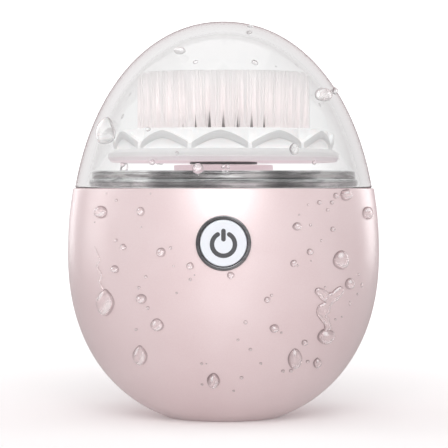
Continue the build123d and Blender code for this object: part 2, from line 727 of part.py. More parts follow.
def make_switch_plunger():
    """Plunger that the button's stem pushes."""
    return plug(PLUNGER_RADIUS, PLUNGER_BACK, PLUNGER_FRONT)


# Brush head -------------------------------------------------------------------

def make_drive_coupling():
    """Disc with a hexagonal post that drives the brush head."""
    coupling = cylinder(COUPLING_RADIUS, BOSS_TOP_Z + COUPLING_GAP, HEAD_BOTTOM_Z)
    post = RegularPolygon(COUPLING_HEX / 2, 6, major_radius=False)
    coupling += Pos(0, 0, HEAD_BOTTOM_Z) * extrude(post, COUPLING_POST)
    return coupling - cylinder(SPINDLE_RADIUS, BOSS_TOP_Z, SPINDLE_TOP_Z)


def make_head_base():
    """Round plate with a chamfered lower edge and a hexagonal socket in its hub."""
    base = turned_points([
        (0, HEAD_BOTTOM_Z), (HEAD_RADIUS - HEAD_CHAMFER, HEAD_BOTTOM_Z),
        (HEAD_RADIUS, HEAD_BOTTOM_Z + HEAD_CHAMFER), (HEAD_RADIUS, HEAD_EDGE_Z),
        (SKIRT_RADIUS, HEAD_TOP_Z), (HUB_RADIUS, HEAD_TOP_Z), (HUB_RADIUS, HUB_TOP_Z), (0, HUB_TOP_Z),
    ])
    socket = RegularPolygon(COUPLING_HEX / 2, 6, major_radius=False)
    return base - Pos(0, 0, HEAD_BOTTOM_Z) * extrude(socket, COUPLING_POST + 0.1)


def make_wavy_skirt():
    """Soft rim of equal rounded lobes; one lobe is close to the button's side."""
    half_pitch = math.pi * SKIRT_RADIUS / SKIRT_LOBES
    dip = SKIRT_PEAK_Z - SKIRT_VALLEY_Z
    lobe_radius = (half_pitch ** 2 + dip ** 2) / (2 * dip)
    ring = tube(PLATE_RADIUS + SKIRT_FIT, SKIRT_RADIUS, HEAD_TOP_Z, SKIRT_PEAK_Z + 1)
    lobes = Part()
    for lobe in range(SKIRT_LOBES):
        angle = SKIRT_TURN + 2 * math.pi * lobe / SKIRT_LOBES
        outwards = Plane(origin=(0, 0, SKIRT_PEAK_Z - lobe_radius),
                         z_dir=(math.cos(angle), math.sin(angle), 0))
        arch = outwards * Cylinder(lobe_radius, SKIRT_RADIUS + 2, align=UPRIGHT)
        lobes += ring & arch
    return lobes


def tuft_places(ring_radius):
    """Tuft centres on one ring, spaced by about one pitch."""
    count = max(1, round(2 * math.pi * ring_radius / TUFT_PITCH))
    angles = [2 * math.pi * step / count for step in range(count)]
    return [(ring_radius * math.cos(angle), ring_radius * math.sin(angle)) for angle in angles]


def tuft_rings():
    """Ring radii from the rim to the centre tuft."""
    count = int(OUTER_TUFT_RING / TUFT_PITCH) + 1
    return [max(0.0, OUTER_TUFT_RING - step * TUFT_PITCH) for step in range(count)]


def make_bristle_plate():
    """Disc with a blind hole for every tuft and a recess for the hub."""
    plate = cylinder(PLATE_RADIUS, HEAD_TOP_Z, PLATE_TOP_Z)
    plate = fillet(plate.edges().sort_by(Axis.Z)[-1], 1.2)
    plate -= cylinder(HUB_RADIUS + 0.1, HEAD_TOP_Z, HUB_TOP_Z + 0.1)
    places = [place for ring_radius in tuft_rings() for place in tuft_places(ring_radius)]
    holes = Sketch() + [Pos(*place) * Circle(TUFT_RADIUS) for place in places]
    return plate - Pos(0, 0, PLATE_TOP_Z - TUFT_ROOT) * extrude(holes, TUFT_ROOT)


def make_bristles(ring_radii):
    """One solid for each tuft on the given rings."""
    low = PLATE_TOP_Z - TUFT_ROOT
    tufts = [
        cylinder(TUFT_RADIUS, low, TUFT_TOP_Z, x, y)
        for ring_radius in ring_radii
        for x, y in tuft_places(ring_radius)
    ]
    return Compound([chamfer(tuft.edges().sort_by(Axis.Z)[-1], 0.4).solid() for tuft in tufts])


def main():
    icon = make_button_icon()
    rings = tuft_rings()
    nodes = {
        "body_shell": make_body_shell(),
        "deck_plate": make_deck_plate(),
        "neck_ring": make_neck_ring(),
        "deck_seal": make_deck_seal(),
        "spindle_seal": make_spindle_seal(),
        "deck_bush": make_bush(DECK_BUSH_LOW, DECK_BUSH_HIGH),
        "chassis": make_chassis(),
        "chassis_screws": make_chassis_screws(),
        "gearbox_housing": make_gearbox_housing(),
        "gearbox_cover": make_gearbox_cover(),
        "gearbox_screws": make_gearbox_screws(),
        "cover_bush": make_bush(GEARBOX_TOP_Z, GEARBOX_TOP_Z + 3.6),
        "idler_axle": cylinder(AXLE_RADIUS, 36.2, 47.8, 0, GEAR_CENTRES),
        "motor_can": make_motor_can(),
        "motor_magnets": make_motor_magnets(),
        "motor_end_cap": make_motor_end_cap(),
        "motor_bearings": make_motor_bearings(),
        "motor_brushes": make_motor_brushes(),
        "battery_cell": make_battery_cell(),
        "circuit_board": make_circuit_board(),
        "board_components": make_board_components(),
        "board_screws": make_board_screws(),
        "indicator_led": on_board(4.8, BUTTON_Z, 1.6, 0.9, 0.7),
        "switch_body": make_switch_body(),
        "charging_coil": make_charging_coil(),
        "ferrite_plate": make_ferrite_plate(),
        "motor_leads": make_motor_leads(),
        "battery_leads": make_battery_leads(),
        "coil_leads": make_coil_leads(),
        "button_bezel": make_button_bezel(),
        "button_membrane": make_button_membrane(),
        "clear_cover": make_clear_cover(),
        "output_spindle": cylinder(SPINDLE_RADIUS, SPINDLE_BOTTOM_Z, SPINDLE_TOP_Z),
        "output_gear": make_output_gear(),
        "drive_coupling": make_drive_coupling(),
        "head_base": make_head_base(),
        "wavy_skirt": make_wavy_skirt(),
        "bristle_plate": make_bristle_plate(),
        "outer_bristles": make_bristles(rings[:2]),
        "inner_bristles": make_bristles(rings[2:]),
        "idler_gear": make_idler_gear(),
        "motor_shaft": cylinder(SHAFT_RADIUS, 9.0, IDLER_STEP_Z),
        "motor_pinion": make_motor_pinion(),
        "rotor_core": make_rotor_core(),
        "rotor_windings": make_rotor_windings(),
        "commutator": make_commutator(),
        "power_button": make_power_button(icon),
        "button_icon": icon,
        "switch_plunger": make_switch_plunger(),
    }
    os.makedirs("parts", exist_ok=True)
    for name, shape in nodes.items():
        export_step(shape, f"parts/{name}.step")


main()
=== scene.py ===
import math
import random

import bmesh
import bpy
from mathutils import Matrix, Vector


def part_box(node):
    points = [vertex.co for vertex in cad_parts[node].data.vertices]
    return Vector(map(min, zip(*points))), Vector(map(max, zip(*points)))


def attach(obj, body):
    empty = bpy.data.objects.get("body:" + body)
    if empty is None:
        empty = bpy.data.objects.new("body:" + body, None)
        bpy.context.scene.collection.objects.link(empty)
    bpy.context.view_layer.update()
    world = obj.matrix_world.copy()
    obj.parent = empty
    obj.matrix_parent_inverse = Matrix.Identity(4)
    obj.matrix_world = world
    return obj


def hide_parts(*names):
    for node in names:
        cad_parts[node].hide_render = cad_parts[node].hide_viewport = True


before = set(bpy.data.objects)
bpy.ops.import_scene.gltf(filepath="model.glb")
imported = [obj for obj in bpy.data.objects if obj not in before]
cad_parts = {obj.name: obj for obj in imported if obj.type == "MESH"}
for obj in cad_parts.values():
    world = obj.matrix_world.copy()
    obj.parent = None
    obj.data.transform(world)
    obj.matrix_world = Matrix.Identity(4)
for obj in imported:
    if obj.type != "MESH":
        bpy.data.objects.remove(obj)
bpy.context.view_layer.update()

MM = 0.001
WHITE = (1.0, 1.0, 1.0)

# Sizes read from the frame, as (low corner, high corner)
HEAD_LOW, HEAD_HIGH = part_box("head_base")
SKIRT_LOW, SKIRT_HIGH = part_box("wavy_skirt")
NECK_LOW, NECK_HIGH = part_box("neck_ring")
BEZEL_LOW, BEZEL_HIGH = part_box("button_bezel")
RIM_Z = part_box("body_shell")[1].z
CROWN_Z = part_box("clear_cover")[1].z
PLATE_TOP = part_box("bristle_plate")[1].z
TUFT_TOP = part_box("outer_bristles")[1].z

# The egg's outline, as in the CAD: two superellipse halves that meet at the belly
BELLY_Z = 38.6 * MM
BELLY_RADIUS = 36.95 * MM
LOWER_HALF_AXIS = 40.6 * MM
UPPER_HALF_AXIS = CROWN_Z - BELLY_Z
LOWER_SQUARENESS = 2.19
UPPER_SQUARENESS = 2.10
COVER_INSET = 0.45 * MM


# Meshes -----------------------------------------------------------------------

def egg_radius(z, inset=0.0, drop=0.0):
    """Outline radius at a height, for a wall taken off the side and the crown."""
    above = z > BELLY_Z
    squareness = UPPER_SQUARENESS if above else LOWER_SQUARENESS
    half_axis = UPPER_HALF_AXIS - drop if above else LOWER_HALF_AXIS - inset
    share = min(abs(z - BELLY_Z) / half_axis, 1.0)
    return (BELLY_RADIUS - inset) * (1.0 - share ** squareness) ** (1.0 / squareness)


def egg_outline(low, high, steps, inset=0.0, drop=0.0):
    """Points (radius, height) along the egg, closer together where it turns inwards."""
    def angle_at(z):
        half_axis = UPPER_HALF_AXIS - drop if z > BELLY_Z else LOWER_HALF_AXIS - inset
        return math.asin(max(-1.0, min(1.0, (z - BELLY_Z) / half_axis)))

    def height_at(angle):
        half_axis = UPPER_HALF_AXIS - drop if angle > 0 else LOWER_HALF_AXIS - inset
        return BELLY_Z + half_axis * math.sin(angle)

    first, last = angle_at(low), angle_at(high)
    heights = [height_at(first + (last - first) * i / steps) for i in range(steps + 1)]
    return [(egg_radius(z, inset, drop), z) for z in heights]


def arc(centre, radius, start, end, steps):
    """Points of an arc in (radius, height), from one angle in degrees to another."""
    angles = [math.radians(start + (end - start) * i / steps) for i in range(steps + 1)]
    return [(centre[0] + radius * math.cos(a), centre[1] + radius * math.sin(a)) for a in angles]


def turn_outwards(mesh, weld_distance=None):
    """Turns the faces of a closed mesh outwards, after merging points closer than a distance."""
    work = bmesh.new()
    work.from_mesh(mesh)
    if weld_distance:
        bmesh.ops.remove_doubles(work, verts=work.verts, dist=weld_distance)
    bmesh.ops.recalc_face_normals(work, faces=work.faces)
    work.to_mesh(mesh)
    work.free()


def new_piece(name, verts, faces, smooth=True, clean=True):
    """Object from points in metres and faces; clean turns a closed mesh's faces outwards."""
    mesh = bpy.data.meshes.new(name)
    mesh.from_pydata(verts, [], faces)
    if clean:
        turn_outwards(mesh, weld_distance=1e-7)
    for polygon in mesh.polygons:
        polygon.use_smooth = smooth
    piece = bpy.data.objects.new(name, mesh)
    bpy.context.scene.collection.objects.link(piece)
    return piece


def sharpen(piece, degrees):
    """Keeps edges sharper than an angle crisp."""
    limit = math.radians(degrees)
    work = bmesh.new()
    work.from_mesh(piece.data)
    for edge in work.edges:
        if len(edge.link_faces) == 2 and edge.calc_face_angle() > limit:
            edge.smooth = False
    work.to_mesh(piece.data)
    work.free()


def lathe(name, outline, segments=192):
    """Solid of revolution about Z; outline points at radius 0 become one pole point."""
    verts = []
    rows = []
    turns = [2 * math.pi * i / segments for i in range(segments)]
    for radius, z in outline:
        on_axis = radius < 1e-7
        rows.append(list(range(len(verts), len(verts) + (1 if on_axis else segments))))
        if on_axis:
            verts.append((0.0, 0.0, z))
        else:
            verts += [(radius * math.cos(turn), radius * math.sin(turn), z) for turn in turns]
    faces = []
    for lower, upper in zip(rows, rows[1:]):
        for i in range(segments):
            j = (i + 1) % segments
            if len(lower) == 1:
                faces.append((lower[0], upper[i], upper[j]))
            elif len(upper) == 1:
                faces.append((lower[i], lower[j], upper[0]))
            else:
                faces.append((lower[i], lower[j], upper[j], upper[i]))
    return new_piece(name, verts, faces)


def join_rings(faces, base, rings, count):
    """Adds the quads between rings of points, each closed on itself, that start at a base point."""
    for ring in range(rings - 1):
        for step in range(count):
            a = base + ring * count + step
            b = base + ring * count + (step + 1) % count
            faces.append((a, b, b + count, a + count))


def front_lathe(name, outline, centre_z, segments=128):
    """Solid of revolution about the button's axis, from points (radius, distance forwards)."""
    piece = lathe(name, outline, segments)
    for vert in piece.data.vertices:
        x, y, distance = vert.co
        vert.co = (x, -distance, centre_z + y)
    turn_outwards(piece.data)
    return piece


# Materials --------------------------------------------------------------------

FLAKES_PER_METRE = 9000.0


def link(tree, source, target):
    """Joins an output socket to an input socket."""
    tree.links.new(source, target)


def feed(tree, value, target):
    """Gives an input socket a number, a colour or another socket's output."""
    if isinstance(value, tuple):
        target.default_value = (*value, 1.0)
    elif isinstance(value, (int, float)):
        target.default_value = value
    else:
        link(tree, value, target)


def feed_all(tree, node, values):
    """Feeds a node's named inputs."""
    for name, value in values.items():
        feed(tree, value, node.inputs[name])


def material(name):
    """Empty node material with its Principled shader: (material, tree, shader)."""
    made = bpy.data.materials.new(name)
    made.use_nodes = True
    tree = made.node_tree
    return made, tree, tree.nodes["Principled BSDF"]


def place(tree, stretch=(1.0, 1.0, 1.0)):
    """Position on the piece, in metres, with an optional stretch."""
    coordinates = tree.nodes.new("ShaderNodeTexCoord")
    mapping = tree.nodes.new("ShaderNodeMapping")
    mapping.inputs["Scale"].default_value = stretch
    link(tree, coordinates.outputs["Object"], mapping.inputs["Vector"])
    return mapping.outputs["Vector"]


def noise(tree, scale, detail=3.0, stretch=(1.0, 1.0, 1.0), rough=0.5):
    """Noise value over the piece; scale is in features per metre."""
    node = tree.nodes.new("ShaderNodeTexNoise")
    feed_all(tree, node, {"Scale": scale, "Detail": detail, "Roughness": rough,
                          "Vector": place(tree, stretch)})
    return node.outputs["Fac"]


def ramp(tree, value, stops):
    """Colour ramp from (position, colour) stops."""
    node = tree.nodes.new("ShaderNodeValToRGB")
    elements = node.color_ramp.elements
    while len(elements) < len(stops):
        elements.new(0.5)
    for element, (position, colour) in zip(elements, stops):
        element.position = position
        element.color = (*colour, 1.0)
    link(tree, value, node.inputs["Fac"])
    return node.outputs["Color"]


def grey_ramp(tree, value, stops):
    """Ramp of greys from (position, grey) stops."""
    return ramp(tree, value, [(position, (grey, grey, grey)) for position, grey in stops])


def mixed(tree, factor, first, second, blend="MIX"):
    """Colour between two colours."""
    node = tree.nodes.new("ShaderNodeMix")
    node.data_type = "RGBA"
    node.blend_type = blend
    feed(tree, factor, node.inputs[0])
    feed(tree, first, node.inputs[6])
    feed(tree, second, node.inputs[7])
    return node.outputs[2]


def product(tree, first, second):
    """One colour multiplied by another."""
    return mixed(tree, 1.0, first, second, "MULTIPLY")


def remap(tree, value, low, high, source_low=0.0, source_high=1.0):
    """Value scaled from its source range to low and high, and held there outside it."""
    node = tree.nodes.new("ShaderNodeMapRange")
    feed_all(tree, node, {"Value": value, "From Min": source_low, "From Max": source_high,
                          "To Min": low, "To Max": high})
    return node.outputs["Result"]


def bump(tree, shader, height, distance, strength=1.0):
    """Fine relief; distance is its depth in metres."""
    node = tree.nodes.new("ShaderNodeBump")
    feed_all(tree, node, {"Strength": strength, "Distance": distance, "Height": height})
    link(tree, node.outputs["Normal"], shader.inputs["Normal"])


def calculate(tree, operation, first, second):
    """Sum, product or the like of two values."""
    node = tree.nodes.new("ShaderNodeMath")
    node.operation = operation
    feed(tree, first, node.inputs[0])
    feed(tree, second, node.inputs[1])
    return node.outputs["Value"]


def measure(tree, operation, vector, other=(0.0, 0.0, 0.0)):
    """Number worked out from a vector and a fixed one, such as a length or a distance."""
    node = tree.nodes.new("ShaderNodeVectorMath")
    node.operation = operation
    link(tree, vector, node.inputs[0])
    if operation != "LENGTH":
        node.inputs[1].default_value = other
    return node.outputs["Value"]


def let_light_through(tree, shader, tint=WHITE, share=1.0):
    """Lets a share of each lamp's light through, tinted, in place of a hard black shadow."""
    lamp_ray = tree.nodes.new("ShaderNodeLightPath").outputs["Is Shadow Ray"]
    if share < 1.0:
        lamp_ray = calculate(tree, "MULTIPLY", lamp_ray, share)
    clear = tree.nodes.new("ShaderNodeBsdfTransparent")
    clear.inputs["Color"].default_value = (*tint, 1.0)
    mix = tree.nodes.new("ShaderNodeMixShader")
    link(tree, lamp_ray, mix.inputs[0])
    link(tree, shader.outputs[0], mix.inputs[1])
    link(tree, clear.outputs[0], mix.inputs[2])
    link(tree, mix.outputs[0], tree.nodes["Material Output"].inputs["Surface"])


def pearl_lacquer(name, shade, light, roughness, coat, painted_glow, metal=0.0, shine=0.5):
    """Two close pinks, fine flakes and a clear coat, with a painted glow in the lighter pink that
    stands in for the light the plastic scatters.
    """
    made, tree, shader = material(name)
    flakes = tree.nodes.new("ShaderNodeTexVoronoi")
    flakes.inputs["Scale"].default_value = FLAKES_PER_METRE
    link(tree, place(tree), flakes.inputs["Vector"])
    cloud = noise(tree, 60.0, 2.0)
    base = mixed(tree, remap(tree, cloud, 0.0, 1.0, 0.35, 0.65), shade, light)
    sparkle = tree.nodes.new("ShaderNodeSeparateColor")
    link(tree, flakes.outputs["Color"], sparkle.inputs["Color"])
    amount = remap(tree, sparkle.outputs["Red"], 0.0, 0.16)
    feed_all(tree, shader, {
        "Base Color": mixed(tree, amount, base, (1.0, 0.92, 0.92)),
        "Roughness": remap(tree, sparkle.outputs["Green"], roughness - 0.03, roughness + 0.03),
        "Metallic": metal, "Specular IOR Level": shine,
        "Coat Weight": coat, "Coat Roughness": 0.3, "Coat IOR": 1.8,
        # The emission is a painted glow; the plastic is no lamp
        "Emission Color": light, "Emission Strength": painted_glow,
    })
    bump(tree, shader, noise(tree, 2600.0, 2.0), 2e-6, 0.5)
    return made


def clear_plastic(name, ior, tint, roughness, ripple):
    """Clear moulded plastic with the faintest flow ripple."""
    made, tree, shader = material(name)
    haze = remap(tree, noise(tree, 90.0), roughness, roughness + 0.01)
    feed_all(tree, shader, {"Base Color": tint, "Transmission Weight": 1.0, "IOR": ior,
                            "Roughness": haze})
    bump(tree, shader, noise(tree, 55.0, 2.0), ripple, 0.6)
    let_light_through(tree, shader, tint)
    return made


def water():
    """Water whose colour attribute holds painted rim shade, in red, and painted light on its lower
    side and glint, in green.
    """
    made, tree, shader = material("water")
    gathered = tree.nodes.new("ShaderNodeAttribute")
    gathered.attribute_name = "light"
    parts = tree.nodes.new("ShaderNodeSeparateColor")
    link(tree, gathered.outputs["Color"], parts.inputs["Color"])
    # Red darkens the tint as painted rim shade; green turns the water milky white as painted light
    rim = mixed(tree, parts.outputs["Red"], (0.99, 0.99, 0.99), (0.3, 0.26, 0.27))
    feed_all(tree, shader, {
        "Base Color": mixed(tree, parts.outputs["Green"], rim, (1.0, 0.99, 0.99)),
        "Transmission Weight": remap(tree, parts.outputs["Green"], 1.0, 0.45),
        "Roughness": remap(tree, noise(tree, 500.0, 2.0), 0.0, 0.02),
        "IOR": 1.333,
    })
    let_light_through(tree, shader, (0.97, 0.97, 0.97))
    return made


def dark_chrome(name, dark, light, contrast):
    """Dark plated metal with faint smears and turning marks; its colour swings with patches and
    streaks of painted reflection.
    """
    spread = 0.32 / contrast
    made, tree, shader = material(name)
    painted_reflection_patches = noise(tree, 75.0, 1.5, (1.0, 1.0, 0.35), 0.35)
    smears_and_painted_streaks = noise(tree, 420.0, 3.0, (0.5, 0.5, 3.5))
    # Colour swings between dark and light as painted reflection patches and streaks
    level = product(tree, remap(tree, painted_reflection_patches, 0.0, 1.0, 0.5 - spread, 0.5 + spread),
                    remap(tree, smears_and_painted_streaks, 0.45, 1.35, 0.3, 0.7))
    feed_all(tree, shader, {"Base Color": mixed(tree, level, dark, light), "Metallic": 1.0,
                            "Roughness": remap(tree, smears_and_painted_streaks, 0.08, 0.24)})
    bump(tree, shader, noise(tree, 260.0, 3.0, (1.0, 1.0, 4.0)), 2.0e-5 * contrast, 0.9)
    return made


def moulded(name, colour, shade, roughness, soft=0.0, coat=0.0, painted_glow=0.0):
    """Moulded plastic or rubber with a fine grain and a slight colour drift, and an optional
    painted glow in its own colour.
    """
    made, tree, shader = material(name)
    cloud = noise(tree, 140.0, 4.0)
    feed_all(tree, shader, {
        "Base Color": mixed(tree, cloud, colour, shade),
        "Roughness": remap(tree, cloud, roughness - 0.05, roughness + 0.05),
        "Subsurface Weight": soft, "Subsurface Scale": 0.0015, "Coat Weight": coat,
        # The emission is a painted glow; the plastic is no lamp
        "Emission Color": colour, "Emission Strength": painted_glow,
    })
    shader.inputs["Subsurface Radius"].default_value = (1.0, 0.8, 0.75)
    bump(tree, shader, noise(tree, 1500.0, 3.0), 4e-6, 0.6)
    return made


def machined(name, colour, shade, roughness, stretch):
    """Bare or plated metal with drawn marks along one direction."""
    made, tree, shader = material(name)
    marks = noise(tree, 900.0, 4.0, stretch)
    feed_all(tree, shader, {
        "Base Color": mixed(tree, marks, colour, shade), "Metallic": 1.0,
        "Roughness": remap(tree, marks, roughness - 0.08, roughness + 0.1),
    })
    bump(tree, shader, marks, 4e-6, 0.6)
    return made


# The sixth value of each pearl is its painted glow
BODY_PINK = pearl_lacquer("body_pearl", (0.77, 0.6, 0.61), (0.81, 0.65, 0.66), 0.4, 1.0, 0.05,
                          metal=0.1, shine=1.0)
DECK_PINK = pearl_lacquer("deck_pearl", (0.845, 0.776, 0.794), (0.87, 0.8, 0.818), 0.4, 0.15, 0.13)
HEAD_PEARL_AND_PAINTED_REFLECTION = pearl_lacquer("head_pearl_and_painted_reflection", (0.88, 0.845, 0.862), (0.9, 0.87, 0.885), 0.5, 0.1, 0.13)
HEAD_WHITE = pearl_lacquer("head_white", (0.84, 0.84, 0.84), (0.87, 0.87, 0.87), 0.5, 0.1, 0.16)
CLEAR = clear_plastic("clear_cover_plastic", 1.49, (0.985, 0.985, 0.985), 0.0, 4e-6)
WATER = water()
NECK_CHROME = dark_chrome("neck_chrome", (0.07, 0.07, 0.073), (0.85, 0.86, 0.86), 2.0)
BEZEL_CHROME = dark_chrome("bezel_chrome", (0.08, 0.08, 0.085), (0.3, 0.3, 0.31), 1.0)
COUPLING_DARK = moulded("coupling_plastic", (0.05, 0.045, 0.05), (0.08, 0.07, 0.075), 0.35)
# The silicones carry a painted glow too
SKIRT_SILICONE = moulded("skirt_silicone", (0.92, 0.92, 0.92), (0.88, 0.89, 0.89), 0.55,
                         soft=0.3, painted_glow=0.2)
# Grey copy of the skirt's silicone, used as painted shade on the band's outer face
BAND_SILICONE_PAINTED_SHADE = moulded("band_silicone_painted_shade", (0.74, 0.74, 0.74), (0.7, 0.71, 0.71), 0.55,
                        soft=0.15, painted_glow=0.16)
BUTTON_FACE = moulded("button_plastic", (0.8, 0.83, 0.89), (0.84, 0.87, 0.92), 0.4,
                      soft=0.1, coat=0.1)
ICON_PLASTIC = moulded("icon_plastic", (0.045, 0.047, 0.052), (0.09, 0.09, 0.1), 0.4)


def nylon():
    """White, slightly see-through filaments, faintly pink and pinker towards the roots, with
    painted shade at the inner roots and a faint painted glow that fades there.
    """
    made, tree, shader = material("bristle_nylon")
    position = tree.nodes.new("ShaderNodeSeparateXYZ")
    link(tree, place(tree), position.inputs["Vector"])
    up = remap(tree, position.outputs["Z"], 0.0, 1.0, PLATE_TOP, TUFT_TOP)
    streak = noise(tree, 700.0, 2.0, (1.0, 1.0, 0.05))
    white = mixed(tree, streak, (0.96, 0.93, 0.93), (0.99, 0.98, 0.98))
    colour = mixed(tree, up, (0.94, 0.9, 0.9), white)
    away = measure(tree, "LENGTH", place(tree, (1.0, 1.0, 0.0)))
    behind = remap(tree, away, 1.0, 0.0, 17.3 * MM, 18.2 * MM)
    # Painted shade: inner tufts darken towards their roots
    painted_root_shade = calculate(tree, "MULTIPLY", behind, remap(tree, up, 1.0, 0.0, 0.04, 0.34))
    feed_all(tree, shader, {
        "Base Color": mixed(tree, painted_root_shade, colour, (0.42, 0.39, 0.39)),
        "Roughness": remap(tree, streak, 0.3, 0.45),
        # The emission is a painted glow, taken away in the painted root shade
        "Emission Color": (1.0, 0.97, 0.97), "Emission Strength": remap(tree, painted_root_shade, 0.115, 0.0),
    })
    let_light_through(tree, shader, share=0.88)
    return made


BRISTLE_NYLON = nylon()


# Camera -----------------------------------------------------------------------

CAMERA_PLACE = Vector((0.00012, -0.5, 54.2 * MM))
CAMERA_TARGET = Vector((0.00012, 0.0, 45.7 * MM))

camera_data = bpy.data.cameras.new("camera")
camera_data.lens = 168.8
camera_data.sensor_width = 36.0
camera_data.clip_start = 0.01
camera = bpy.data.objects.new("camera", camera_data)
camera.location = CAMERA_PLACE
camera.rotation_euler = (CAMERA_TARGET - CAMERA_PLACE).to_track_quat("-Z", "Y").to_euler()
bpy.context.scene.collection.objects.link(camera)
bpy.context.scene.camera = camera


# Studio -----------------------------------------------------------------------

def in_plain_view(tree, path):
    """1 for what the eye sees, directly or through clear plastic, and 0 for what lights it."""
    bounced = calculate(tree, "ADD", path.outputs["Diffuse Depth"], path.outputs["Glossy Depth"])
    return remap(tree, bounced, 1.0, 0.0)


def make_world():
    """White to the camera, a softly graded room in reflections and in the clear plastic."""
    world = bpy.data.worlds.new("studio")
    bpy.context.scene.world = world
    world.use_nodes = True
    tree = world.node_tree
    background = tree.nodes["Background"]
    coordinates = tree.nodes.new("ShaderNodeTexCoord")
    direction = tree.nodes.new("ShaderNodeSeparateXYZ")
    link(tree, coordinates.outputs["Generated"], direction.inputs["Vector"])
    level = tree.nodes.new("ShaderNodeCombineXYZ")
    link(tree, direction.outputs["X"], level.inputs["X"])
    link(tree, direction.outputs["Y"], level.inputs["Y"])
    unit = tree.nodes.new("ShaderNodeVectorMath")
    unit.operation = "NORMALIZE"
    link(tree, level.outputs["Vector"], unit.inputs[0])
    front = measure(tree, "DOT_PRODUCT", unit.outputs["Vector"], (0.0, -1.0, 0.0))
    frontness = remap(tree, front, 0.0, 1.0, -1.0, 1.0)
    rightness = remap(tree, direction.outputs["X"], 0.0, 1.0, -1.0, 1.0)
    room = ramp(tree, frontness, [
        (0.0, (0.5, 0.38, 0.395)), (0.12, (0.52, 0.42, 0.43)), (0.3, (0.56, 0.52, 0.52)),
        (0.42, (0.7, 0.69, 0.69)), (0.56, (0.62, 0.63, 0.63)), (0.72, (0.44, 0.44, 0.44)),
        (0.86, (0.5, 0.5, 0.5)), (0.93, (0.85, 0.85, 0.85)), (1.0, (1.0, 1.0, 1.0)),
    ])
    height = grey_ramp(tree, direction.outputs["Z"], [
        (0.0, 0.56), (0.12, 0.68), (0.4, 0.84), (0.7, 0.62), (1.0, 0.45),
    ])
    through = grey_ramp(tree, frontness, [
        (0.0, 0.97), (0.06, 0.95), (0.2, 0.75), (0.4, 0.65), (0.6, 1.0), (1.0, 1.0),
    ])
    unlit_front = grey_ramp(tree, frontness, [
        (0.0, 1.0), (0.9, 1.0), (0.945, 0.3), (0.975, 0.1), (1.0, 0.08),
    ])
    skyline = grey_ramp(tree, direction.outputs["Z"], [
        (0.0, 1.0), (0.014, 0.99), (0.036, 0.77), (1.0, 0.77),
    ])
    sides = grey_ramp(tree, rightness, [(0.0, 1.0), (0.5, 1.0), (0.72, 0.93), (1.0, 0.75)])
    path = tree.nodes.new("ShaderNodeLightPath")
    clear_view = product(tree, product(tree, through, skyline), sides)
    reflected = product(tree, clear_view, unlit_front)
    behind_plastic = mixed(tree, in_plain_view(tree, path), reflected, clear_view)
    lighting = product(tree, room, height)
    seen = mixed(tree, path.outputs["Is Transmission Ray"], lighting, behind_plastic)
    link(tree, mixed(tree, path.outputs["Is Camera Ray"], seen, WHITE), background.inputs["Color"])
    background.inputs["Strength"].default_value = 1.3


def make_lamp(name, place_at, target, width, height, power):
    """Rectangular softbox aimed at a point."""
    data = bpy.data.lights.new(name, "AREA")
    data.shape = "RECTANGLE"
    data.size = width
    data.size_y = height
    data.energy = power
    lamp = bpy.data.objects.new(name, data)
    lamp.location = place_at
    lamp.rotation_euler = (Vector(target) - Vector(place_at)).to_track_quat("-Z", "Y").to_euler()
    bpy.context.scene.collection.objects.link(lamp)
    return lamp


def make_floor():
    """Large pale floor whose white glow fades near the base as a painted shadow; to what it lights
    it is darker, as painted shade, and it holds a painted pool of light in front and a painted glow
    underneath that only the body sees, hidden from the eye.
    """
    size = 6.0
    corners = [(-size, -size, 0.0), (size, -size, 0.0), (size, size, 0.0), (-size, size, 0.0)]
    floor = new_piece("floor", corners, [(0, 1, 2, 3)], smooth=False)
    made, tree, shader = material("floor_paper")
    paper = mixed(tree, noise(tree, 400.0, 3.0), (0.94, 0.94, 0.94), (0.96, 0.96, 0.96))
    plain = in_plain_view(tree, tree.nodes.new("ShaderNodeLightPath"))
    away = measure(tree, "LENGTH", place(tree))
    # Glow that whitens the floor to the eye, fading near the base as a painted shadow
    glow_with_painted_shadow = grey_ramp(tree, away, [
        (0.0, 0.08), (0.02, 0.09), (0.032, 0.15), (0.045, 0.2), (0.06, 0.224), (0.1, 0.272),
        (0.2, 0.39), (0.5, 0.75),
    ])
    # Painted pool of light in front of the body and painted glow under it, seen only by the body
    in_front = measure(tree, "DISTANCE", place(tree, (1.6, 0.8, 1.0)), (0.0, -0.12, 0.0))
    painted_light_pool = grey_ramp(tree, in_front, [
        (0.0, 0.62), (0.04, 0.48), (0.07, 0.12), (0.11, 0.02), (0.4, 0.0),
    ])
    painted_underglow = grey_ramp(tree, away, [(0.0, 0.13), (0.035, 0.13), (0.06, 0.0), (1.0, 0.0)])
    hidden_painted_light = calculate(tree, "MAXIMUM", painted_light_pool, painted_underglow)
    feed_all(tree, shader, {
        # To what it lights the floor is a darker grey: painted shade
        "Base Color": mixed(tree, plain, (0.58, 0.55, 0.55), paper),
        "Roughness": 0.55, "Specular IOR Level": 0.1,
        "Emission Color": (0.98, 1.0, 1.0), "Emission Strength": mixed(tree, plain, hidden_painted_light, glow_with_painted_shadow),
    })
    floor.data.materials.append(made)


